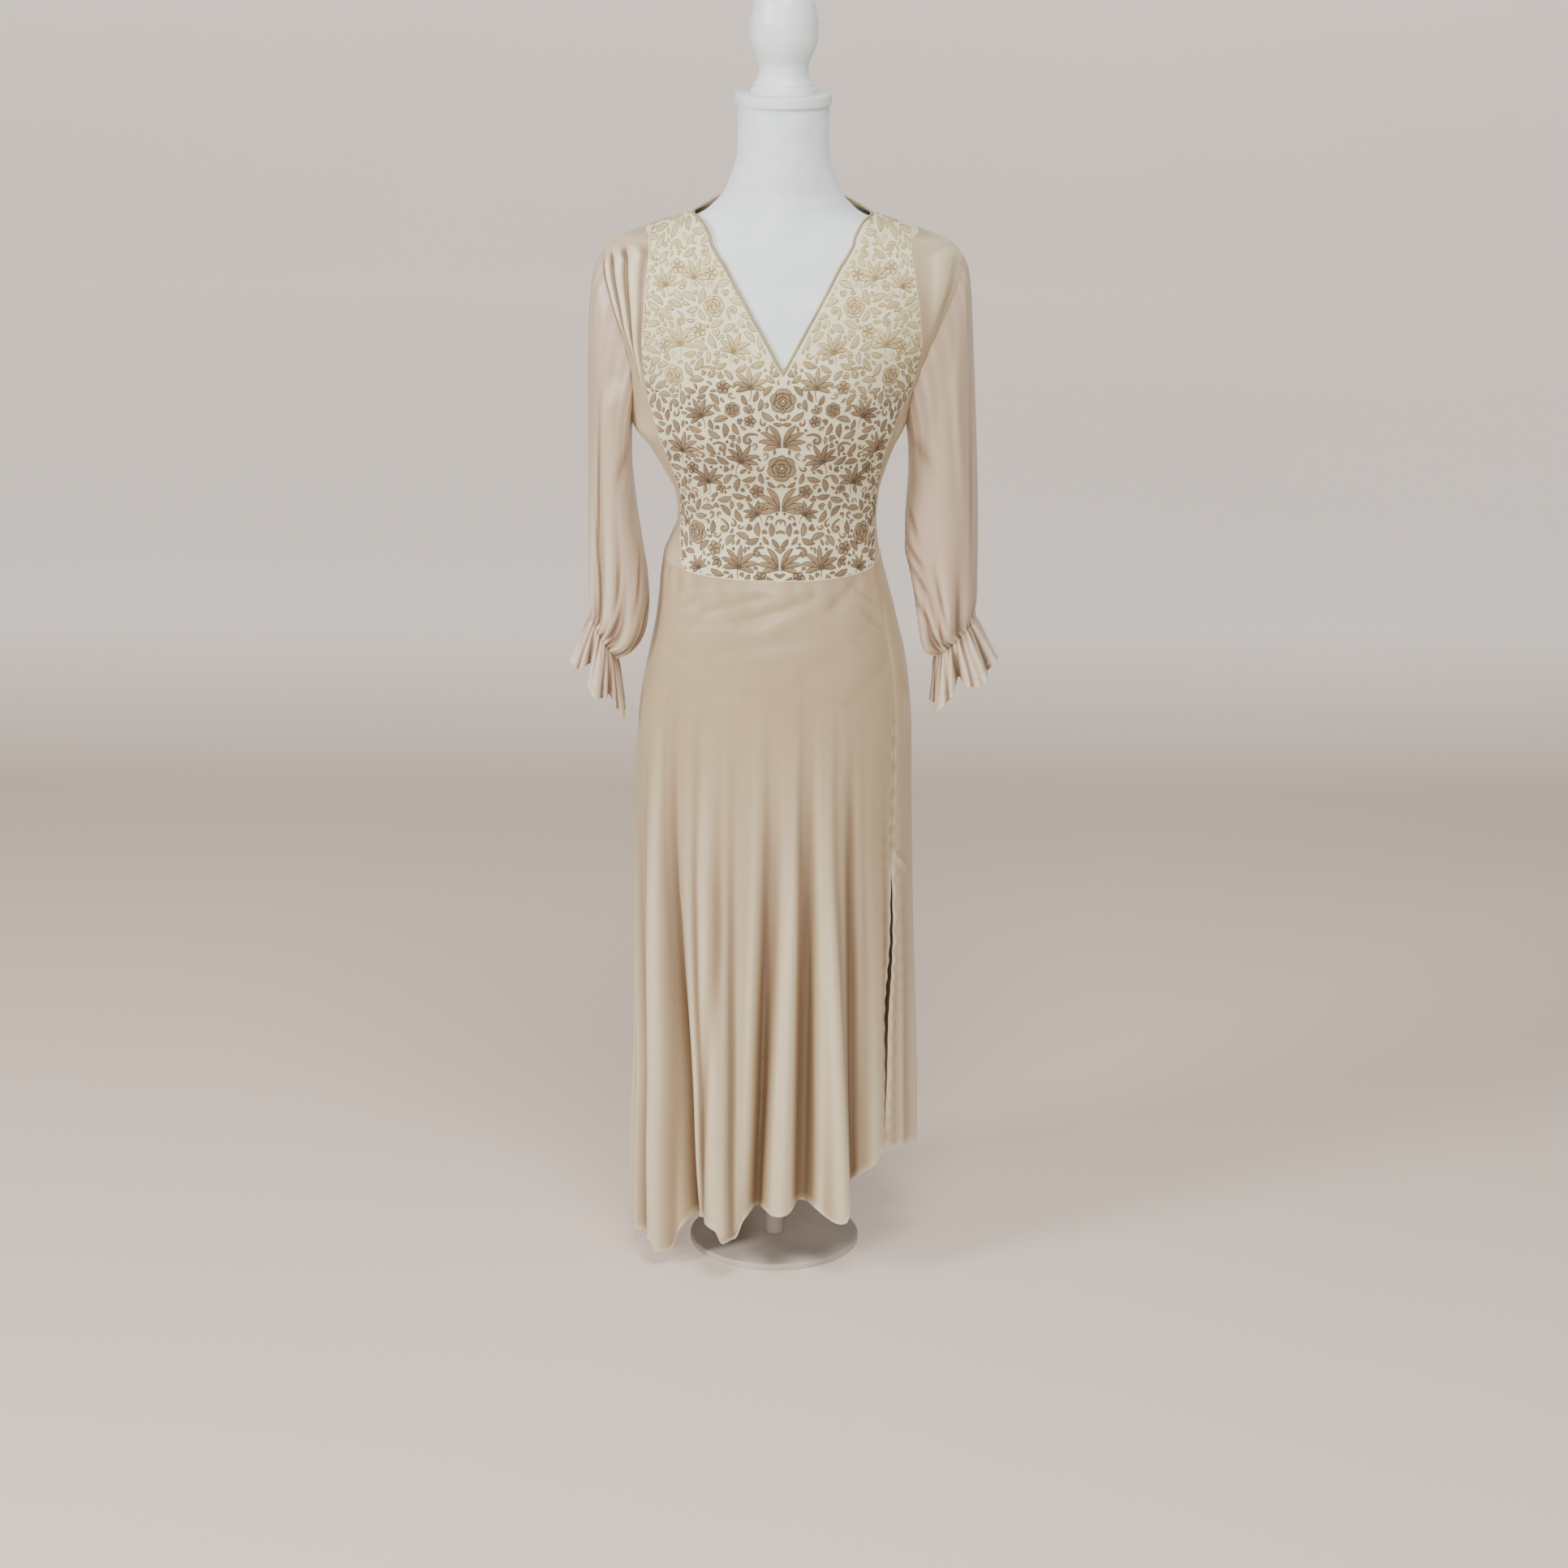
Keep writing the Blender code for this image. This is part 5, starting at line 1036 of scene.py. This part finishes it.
def berryShape(out, centre, radius, shade=0.4):
    share = np.linspace(-1, 1, 7)
    line = np.array(centre, float) + np.stack([share * radius, 0 * share], axis=-1)
    out.add(line, np.maximum(radius * np.sqrt(1 - share ** 2), 0.2), shade)


def stemShape(out, line, wide=0.9, shade=0.2):
    share = np.linspace(0, 1, len(line))
    out.add(line, wide / 2 * (1.15 - 0.6 * share), shade, outline=False)


def sprayShape(out, base, angle, length, pairs, leaf, width, bend=60, lean=50, shade=0.5):
    stem = arcLine(base, angle, length, bend, 13)
    stemShape(out, stem, 1.3)
    for index in range(pairs):
        share = 0.12 + 0.8 * index / pairs
        place = share * 12
        low = int(place)
        point = stem[low] + (stem[low + 1] - stem[low]) * (place - low)
        heading = angle + bend * (share - 0.25)
        size = leaf * (1.05 - 0.4 * share) * (0.75 if index == 0 else 1.0)
        for side in (-1, 1):
            leafShape(out, point, heading + side * lean * (1 - 0.45 * share), size, width * (1 - 0.2 * share),
                      side * 52, 1.1, shade + 0.15 * side)
    leafShape(out, stem[-1], angle + bend * 0.75, leaf * 0.7, width * 0.9, 0, 0.4, shade)


def palmShape(out, base, angle, size, shade):
    stemShape(out, arcLine(base, angle + 180, size * 0.55, 50 if angle < 90 else -50, 9), 1.5)
    leafShape(out, base, angle, size, size * 0.2, 0, 0.6, shade)
    for lean, grow in ((27, 0.95), (54, 0.85), (82, 0.66)):
        for side in (-1, 1):
            leafShape(out, base, angle + side * lean, size * grow, size * 0.2, side * 48, 1.1, shade + 0.13 * side)


def scrollShape(out, base, angle, size, hand=1, shade=0.35, turns=1.15):
    count = 17
    share = (np.arange(count - 1) + 0.5) / (count - 1)
    headings = np.radians(angle + hand * 360 * turns * share ** 1.5)
    moves = np.stack([np.cos(headings), np.sin(headings)], axis=-1) * (size * 2.6 / (count - 1) * (1.35 - share))[:, None]
    line = np.concatenate([[np.array(base, float)], np.array(base, float) + np.cumsum(moves, axis=0)])
    whole = np.linspace(0, 1, count)
    half = 0.55 + 1.15 * np.sin(np.pi * whole ** 0.8) ** 1.2 + 1.2 * np.exp(-((whole - 0.97) / 0.06) ** 2)
    out.add(line, half, shade, outline=size > 11)


def flowerShape(out, centre, radius, petals=5, spin=0.0, shade=0.55):
    for index in range(petals):
        angle = spin + 360 * index / petals
        way = np.array([math.cos(math.radians(angle)), math.sin(math.radians(angle))])
        leafShape(out, np.array(centre) + way * radius * 0.2, angle, radius * 0.85, radius * 0.82, 0, 0.9, shade, False)
    berryShape(out, centre, radius * 0.24, 0.1)


def roseShape(out, centre, radius, spin=0.0, shade=0.6):
    centre = np.array(centre, float)
    for ring, (count, reach, thick) in enumerate(((6, 0.80, 0.40), (4, 0.48, 0.34), (2, 0.2, 0.26))):
        for index in range(count):
            angle = spin + 40 * ring + 360 * index / count
            middle = np.radians(angle + np.linspace(-0.46, 0.46, 9) * 360 / count * 1.15)
            bow = radius * (reach + 0.06 * np.cos(np.linspace(-1.4, 1.4, 9)))
            line = centre + np.stack([np.cos(middle) * bow, np.sin(middle) * bow], axis=-1)
            half = np.maximum(radius * thick / 2 * np.cos(np.linspace(-1.45, 1.45, 9)) ** 0.6, 0.25)
            out.add(line, half, shade + 0.1 * (index % 2) - 0.12 * ring, False)


def heartShape(out, centre, size, angle, shade=0.5):
    centre = np.array(centre, float)
    back = np.radians(angle + 180)
    point = centre + size * 0.5 * np.array([math.cos(back), math.sin(back)])
    for side in (-1, 1):
        leafShape(out, point, angle + side * 26, size * 1.02, size * 0.52, -side * 20, 0.9, shade, False)


def trefoilShape(out, base, angle, size, shade=0.45):
    for lean, grow in ((-48, 0.85), (0, 1.0), (48, 0.85)):
        leafShape(out, base, angle + lean, size * grow, size * 0.42, -lean * 0.7, 0.5, shade, False)


# large motifs of one half: kind, distance from the centre line, height, angle and size
mainMotifs = [
    ("rose", 0, 1166, 15, 15), ("rose", 0, 1078, 40, 17), ("rose", 112, 984, 10, 14), ("rose", 86, 1276, 0, 12),
    ("rose", 138, 1192, 20, 12), ("rose", 62, 1154, 30, 9),
    ("fan", 0, 1106, 90, 34), ("fan", 0, 1020, 90, 36), ("fan", 0, 944, 90, 32),
    ("spray", 40, 1180, 84, 44), ("spray", 52, 1084, 118, 46), ("spray", 92, 1052, 78, 46), ("spray", 52, 944, 96, 50),
    ("spray", 128, 1092, 100, 48), ("spray", 100, 1142, 62, 42), ("spray", 62, 1222, 110, 42), ("spray", 128, 1228, 84, 46),
    ("spray", 112, 1306, 112, 40), ("spray", 146, 1296, 70, 36), ("spray", 28, 1014, 52, 34), ("spray", 104, 940, 60, 30),
    ("scroll", 30, 1122, 20, 17), ("scroll", 76, 1006, 200, 15), ("scroll", 86, 1108, 150, 15), ("scroll", 20, 972, 10, 13),
    ("scroll", 100, 1204, 160, 15), ("scroll", 142, 1146, 70, 14), ("scroll", 66, 1262, 60, 13), ("scroll", 132, 1268, 200, 13),
    ("scroll", 104, 1346, 190, 12), ("scroll", 142, 1338, 100, 13), ("scroll", 126, 1022, 80, 12), ("scroll", 44, 1216, 120, 11),
    ("flower", 30, 1046, 0, 9), ("flower", 74, 1182, 20, 8.5), ("flower", 114, 1072, 10, 8.5), ("flower", 84, 968, 0, 9),
    ("flower", 40, 1140, 30, 7.5), ("flower", 104, 1248, 0, 8.5), ("flower", 132, 1320, 10, 8.5), ("flower", 150, 1226, 0, 8),
    ("flower", 24, 934, 0, 8), ("flower", 90, 1314, 30, 8)]


def drawMain(kind, across, height, angle, size, chance):
    out = Stitches()
    shade = chance.uniform(0.35, 0.65)
    if kind == "rose":
        roseShape(out, (across, height), size, angle, shade + 0.1)
    elif kind == "flower":
        flowerShape(out, (across, height), size, 5, angle, shade)
    elif kind == "scroll":
        scrollShape(out, (across, height), angle, size, 1 if across > 60 else -1, shade - 0.1)
    elif kind == "spray":
        palmShape(out, (across, height), angle, size * 0.62, shade)
    else:
        for lean, grow in ((16, 1.0), (40, 0.96), (64, 0.86), (88, 0.66)):
            leafShape(out, (1.6, height), 90 - lean, size * grow, size * 0.19, -46, 1.1, shade + 0.004 * lean)
    return out


def drawFiller(kind, across, height, angle, size, chance):
    out = Stitches()
    shade = chance.uniform(0.25, 0.75)
    if kind == "trefoil":
        trefoilShape(out, (across, height), angle, size, shade)
    elif kind == "flower":
        flowerShape(out, (across, height), size, 5, angle, shade)
    elif kind == "curl":
        scrollShape(out, (across, height), angle, size, 1 if chance.random() < 0.5 else -1, shade - 0.2, 0.95)
    elif kind == "heart":
        heartShape(out, (across, height), size, angle, shade)
    elif kind == "leaf":
        leafShape(out, (across, height), angle, size, size * 0.4, chance.choice((-45, 40)), 0.4, shade)
    else:
        berryShape(out, (across, height), size, shade - 0.2)
    return out


# fillers tried in turn: kind, largest and smallest size, share of the tries
fillers = [("leaf", 19.0, 14.0, 0.10), ("trefoil", 14.0, 10.0, 0.10), ("curl", 9.0, 7.0, 0.10), ("flower", 7.0, 6.0, 0.03),
           ("heart", 8.5, 7.0, 0.06), ("leaf", 13.0, 9.0, 0.20), ("curl", 6.5, 5.0, 0.08), ("heart", 6.0, 5.0, 0.06),
           ("leaf", 8.5, 5.5, 0.17), ("berry", 2.2, 1.4, 0.10)]


class PanelMap:  # flat pattern to panel: distance along the cloth from the centre line, and height
    def __init__(self, side, panel):
        self.sign = 1 if side == "right" else -1
        self.side = side
        self.heights = np.arange(924.0, 1381.0, 3.0)
        self.spans = np.arange(-4.0, 262.0, 1.0)
        turns = np.linspace(0, 90, 181)
        self.turns = np.zeros((len(self.heights), len(self.spans)))
        self.inner = np.zeros(len(self.heights))
        self.outer = np.zeros(len(self.heights))
        for row, height in enumerate(self.heights):
            points = bodyAt(self.sign * turns, np.full(len(turns), height))
            lengths = np.concatenate([[0], np.cumsum(np.linalg.norm(np.diff(points, axis=0), axis=1))])
            xs = np.abs(points[:, 0])
            axis = bodiceSize["vPointX"] * min(1.0, max(0.0, (height - 926) / 270)) * self.sign
            self.turns[row] = np.interp(self.spans + axis, lengths, turns)
            self.turns[row] = np.where(self.spans + axis < 0, (self.spans + axis) * (turns[1] / lengths[1]), self.turns[row])
            self.outer[row] = np.interp(min(float(panelEdge[side](height)), xs[-1]), xs, lengths) - axis
            share = (height - neckRows[0]) / (neckRows[-1] - neckRows[0])
            neck = bodiceSize["neckPointX"] * share if height > neckRows[0] else 0.0
            self.inner[row] = np.interp(neck, xs, lengths) if height > neckRows[0] else -1.0
        self.tree = panelTree(panel)

    def limits(self, height):
        return np.interp(height, self.heights, self.inner), np.interp(height, self.heights, self.outer)

    def turnOf(self, span, height):
        r = np.clip((height - self.heights[0]) / 3.0, 0, len(self.heights) - 1.001)
        c = np.clip(span - self.spans[0], 0, len(self.spans) - 1.001)
        r0, c0 = r.astype(int), c.astype(int)
        fr, fc = r - r0, c - c0
        t = self.turns
        low = t[r0, c0] * (1 - fc) + t[r0, c0 + 1] * fc
        return low * (1 - fr) + (t[r0 + 1, c0] * (1 - fc) + t[r0 + 1, c0 + 1] * fc) * fr

    def clip(self, flat):
        edge = stitchSize["edge"]
        height = np.clip(flat[:, 1], 926.0, 1376.0)
        inner, outer = self.limits(height)
        inner = np.where(height > neckRows[0] - 2, inner + edge + 1.2, -0.8)
        span = np.clip(flat[:, 0], inner, np.maximum(outer - edge, inner))
        turn = self.sign * self.turnOf(span, height)
        height = np.maximum(height, waistHeight(turn) + edge + 0.6)
        kept = np.hypot(span - flat[:, 0], height - flat[:, 1]) < 0.02
        return np.stack([span, height], axis=-1), kept

    def place(self, flat, lift):
        turn = self.sign * self.turnOf(flat[:, 0], flat[:, 1])
        turn = np.clip(turn, -89.6, 89.6)
        base, normal = bodyAt(turn, flat[:, 1]), normalsAt(bodyAt, turn, flat[:, 1])
        placed = np.empty_like(base)
        for index in range(len(base)):
            start = (base[index] + 25 * normal[index]) * mm
            hit = self.tree.ray_cast(start.tolist(), (-normal[index]).tolist(), 0.06)
            surface = base[index] if hit[0] is None else np.array(hit[0]) / mm
            placed[index] = surface + lift[index] * normal[index]
        return placed


def panelTree(panel):
    return BVHTree.FromPolygons([v.co for v in panel.data.vertices], [tuple(p.vertices) for p in panel.data.polygons])


def planStitches():
    chance = random.Random(stitchSize["seed"])
    wide, tall = 200, 470
    taken = np.zeros((tall, wide), bool)
    planned = []

    def cells(ribbon, extra):
        line, half = ribbon[0], ribbon[1]
        spots = []
        for reach in (-1.0, -0.5, 0.0, 0.5, 1.0):
            along = unit(np.gradient(line, axis=0))
            across = np.stack([-along[:, 1], along[:, 0]], axis=-1)
            spots.append(line + across * (reach * (half + extra))[:, None])
        spots = np.concatenate(spots)
        return np.floor(np.abs(spots[:, 0])).astype(int), np.floor(spots[:, 1] - 920).astype(int)

    def fits(out):
        for ribbon in out.ribbons:
            column, row = cells(ribbon, stitchSize["space"])
            good = (row >= 2) & (row < tall - 2) & (column < wide - 2)
            if not good.all() or taken[row, column].any():
                return False
        return True

    def stamp(out):
        for ribbon in out.ribbons:
            column, row = cells(ribbon, 0.45)
            good = (row >= 0) & (row < tall - 1) & (column < wide - 1)
            taken[row[good], column[good]] = True
            taken[row[good] + 1, column[good]] = True
            taken[row[good], column[good] + 1] = True
        planned.append(out)

    for motif in mainMotifs:
        stamp(drawMain(*motif, chance))
    for kind, large, small, part in fillers:
        count = int(stitchSize["tries"] * part)
        for index in range(count):
            size = large + (small - large) * index / count
            across, height, angle = chance.uniform(1, 196), chance.uniform(922, 1380), chance.uniform(0, 360)
            reach = 0.6 * size
            column, row = int(across), int(height - 920)
            if taken[min(row, tall - 1), min(column, wide - 1)]:
                continue
            if across < reach:
                continue
            out = drawFiller(kind, across, height, angle, size, chance)
            if fits(out):
                stamp(out)
    return planned


def ribbonMesh(store, line, half, shade, lifts, closed=False):
    count = len(line)
    along = np.roll(line, -1, 0) - np.roll(line, 1, 0) if closed else np.gradient(line, axis=0)
    along = unit(along)
    across = np.stack([-along[:, 1], along[:, 0]], axis=-1)
    columns = len(lifts)
    reach = np.linspace(-1, 1, columns)
    flat = (line[:, None] + across[:, None] * (half[:, None] * reach[None, :])[..., None]).reshape(-1, 2)
    lift = np.tile(np.array(lifts), count)
    length = np.concatenate([[0], np.cumsum(np.linalg.norm(np.diff(line, axis=0), axis=1))])
    uv = np.stack([np.repeat(length, columns), (half[:, None] * reach[None, :]).ravel()], axis=-1)
    start = store["count"]
    rows = count if closed else count - 1
    for row in range(rows):
        after = (row + 1) % count
        for column in range(columns - 1):
            store["faces"].append((start + row * columns + column + 1, start + row * columns + column,
                                   start + after * columns + column, start + after * columns + column + 1))
    store["flat"].append(flat)
    store["lift"].append(lift)
    store["shade"].append(np.full(len(flat), shade))
    store["uv"].append(uv)
    store["count"] += len(flat)


def newStore():
    return {"flat": [], "lift": [], "shade": [], "uv": [], "faces": [], "count": 0}


def makeEmbroidery():
    planned = planStitches()
    size = stitchSize
    for sideIndex, side in enumerate(("left", "right")):
        chart = PanelMap(side, pieces["frontPanel"])
        fill, edge = newStore(), newStore()
        for out in planned:
            for line, half, shade, vein, outline in out.ribbons:
                raised = min(size["fillRaise"], 0.25 + 0.22 * float(half.max()))
                ribbonMesh(fill, line, half, shade, (0.12, 0.8 * raised, raised, 0.8 * raised, 0.12))
                if outline:
                    along = unit(np.gradient(line, axis=0))
                    across = np.stack([-along[:, 1], along[:, 0]], axis=-1) * half[:, None]
                    loop = np.concatenate([line + across, (line - across)[::-1]])
                    width = np.full(len(loop), size["outlineWidth"] / 2)
                    ribbonMesh(edge, loop, width, shade, (0.1, min(size["outlineRaise"], raised + 0.25), 0.1), closed=True)
                if vein:
                    share = slice(1, -2)
                    width = size["veinWidth"] / 2 * np.linspace(1.0, 0.4, len(line[share]))
                    ribbonMesh(edge, line[share], width, shade, (raised - 0.1, raised + 0.3, raised - 0.1))
        for name, store, material in (("embroideryFill", fill, threadFill), ("embroideryOutline", edge, threadLine)):
            flat, lift = np.concatenate(store["flat"]), np.concatenate(store["lift"])
            shade, uv = np.concatenate(store["shade"]), np.concatenate(store["uv"])
            clipped, kept = chart.clip(flat)
            placed = chart.place(clipped, lift)
            faces = np.array(store["faces"])
            shown = kept[faces].sum(axis=1) >= 2
            faces = faces[shown]
            used = np.unique(faces)
            newIndex = np.full(len(flat), -1)
            newIndex[used] = np.arange(len(used))
            faces = newIndex[faces]
            if side == "left":
                faces = faces[:, ::-1]
            key = name + side.capitalize()
            piece = buildMesh(key, placed[used], [tuple(int(i) for i in face) for face in faces], material, angle=80.0)
            layer = piece.data.uv_layers.new(name="stitch")
            corners = np.array([loop.vertex_index for loop in piece.data.loops])
            layer.data.foreach_set("uv", (uv[used][corners] * mm).astype(np.float32).ravel())
            tone = piece.data.attributes.new("shade", "FLOAT", "POINT")
            tone.data.foreach_set("value", np.clip(shade[used], 0, 1).astype(np.float32))
            pieces[key] = piece


makeEmbroidery()
print("stage: embroidery made")


# ---- floor, light and camera ----
stageLook = {
    "wall": "eadfd6", "low": "b8a698", "floor": "d0c2b5", "floorSize": 8.0, "wallPlace": 7.8, "glow": 0.68,
    "keyPower": 140.0, "frontPower": 95.0, "topPower": 95.0, "fillPower": 9.0, "skyPower": 0.12,
}


def makeStage():
    material, tree, shader, coords = newMaterial("painted studio floor and wall", {"Roughness": 0.9, "Specular IOR Level": 0.1})
    cloud = addNode(tree, "ShaderNodeTexNoise", {"Scale": 0.7, "Detail": 2.0}, {"Vector": coords.outputs["Object"]})
    split = addNode(tree, "ShaderNodeSeparateXYZ", None, {0: coords.outputs["Object"]})
    rise = addNode(tree, "ShaderNodeMapRange", {1: 2.0, 2: 3.1}, {0: split.outputs[1]})
    tone = mixColour(tree, rise.outputs[0], linearColour(stageLook["low"]), linearColour(stageLook["wall"]))
    nearer = addNode(tree, "ShaderNodeMapRange", {1: 1.9, 2: -1.3}, {0: split.outputs[1]})
    floorTone = mixColour(tree, nearer.outputs[0], linearColour(stageLook["low"]), linearColour(stageLook["floor"]))
    isWall = addNode(tree, "ShaderNodeMapRange", {1: 1.4, 2: 1.8}, {0: split.outputs[1]})
    tone = mixColour(tree, isWall.outputs[0], floorTone, tone)
    patch = ramp(tree, cloud.outputs[0], [(0.3, (0.985, 0.985, 0.985, 1)), (0.7, (1.01, 1.01, 1.01, 1))])
    painted = mixColour(tree, 1.0, tone, patch, "MULTIPLY")
    tree.links.new(painted, shader.inputs["Base Color"])
    tree.links.new(painted, shader.inputs["Emission Color"])
    shader.inputs["Emission Strength"].default_value = stageLook["glow"]
    half, far, radius = stageLook["floorSize"], stageLook["wallPlace"], 0.9
    profile = [(-half, 0.0), (far - radius, 0.0)]
    profile += [(far - radius + radius * math.sin(a * math.pi / 32), radius - radius * math.cos(a * math.pi / 32)) for a in range(1, 17)]
    profile += [(far, 5.0)]
    points = [(x, y, z) for y, z in profile for x in (-half, half)]
    mesh = bpy.data.meshes.new("studioFloor")
    mesh.from_pydata(points, [], [(2 * i, 2 * i + 1, 2 * i + 3, 2 * i + 2) for i in range(len(profile) - 1)])
    mesh.materials.append(material)
    mesh.shade_smooth()
    floor = bpy.data.objects.new("studioFloor", mesh)
    bpy.context.scene.collection.objects.link(floor)


def makeLight(name, place, target, size, power, colour):
    light = bpy.data.lights.new(name, "AREA")
    light.shape = "RECTANGLE"
    light.size, light.size_y = size
    light.energy = power
    light.color = colour
    lamp = bpy.data.objects.new(name, light)
    lamp.location = place
    direction = np.array(target) - np.array(place)
    lamp.rotation_euler = (math.atan2(math.hypot(direction[0], direction[1]), -direction[2]), 0.0, math.atan2(-direction[0], direction[1]))
    bpy.context.scene.collection.objects.link(lamp)


def makeLightsAndCamera():
    makeLight("softboxLeft", (-3.0, -1.9, 2.7), (0.0, 0.0, 0.85), (0.9, 1.5), stageLook["keyPower"], (1.0, 0.96, 0.9))
    makeLight("softboxTop", (0.3, -1.7, 3.7), (0.0, 0.0, 1.0), (1.4, 1.0), stageLook["topPower"], (1.0, 0.97, 0.93))
    makeLight("softboxFront", (-0.5, -5.0, 2.4), (0.0, 0.0, 0.9), (1.2, 1.2), stageLook["frontPower"], (1.0, 0.97, 0.93))
    makeLight("softboxRight", (2.9, -1.6, 2.2), (0.0, 0.0, 0.9), (1.4, 2.0), stageLook["fillPower"], (1.0, 0.97, 0.94))
    world = bpy.data.worlds.new("softStudio")
    world.use_nodes = True
    world.node_tree.nodes["Background"].inputs[0].default_value = (1.0, 0.975, 0.95, 1.0)
    world.node_tree.nodes["Background"].inputs[1].default_value = stageLook["skyPower"]
    bpy.context.scene.world = world
    camera = bpy.data.cameras.new("photoCamera")
    camera.sensor_width = 36.0
    camera.lens = 93.17
    view = bpy.data.objects.new("photoCamera", camera)
    view.location = (0.008, -5.0, 2.2)
    tilt, roll = Matrix.Rotation(math.radians(90 - 17.39), 3, "X"), Matrix.Rotation(math.radians(0.5), 3, "Z")
    view.rotation_euler = (tilt @ roll).to_euler()
    bpy.context.scene.collection.objects.link(view)
    bpy.context.scene.camera = view


makeStage()
makeLightsAndCamera()
print("stage: floor, lights and camera set")


def declarePieces():
    for key, piece in pieces.items():
        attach(piece, "root")


declarePieces()
for key, piece in pieces.items():
    print("piece", key, sum(len(face.vertices) - 2 for face in piece.data.polygons), round(meshArea(piece), 4))
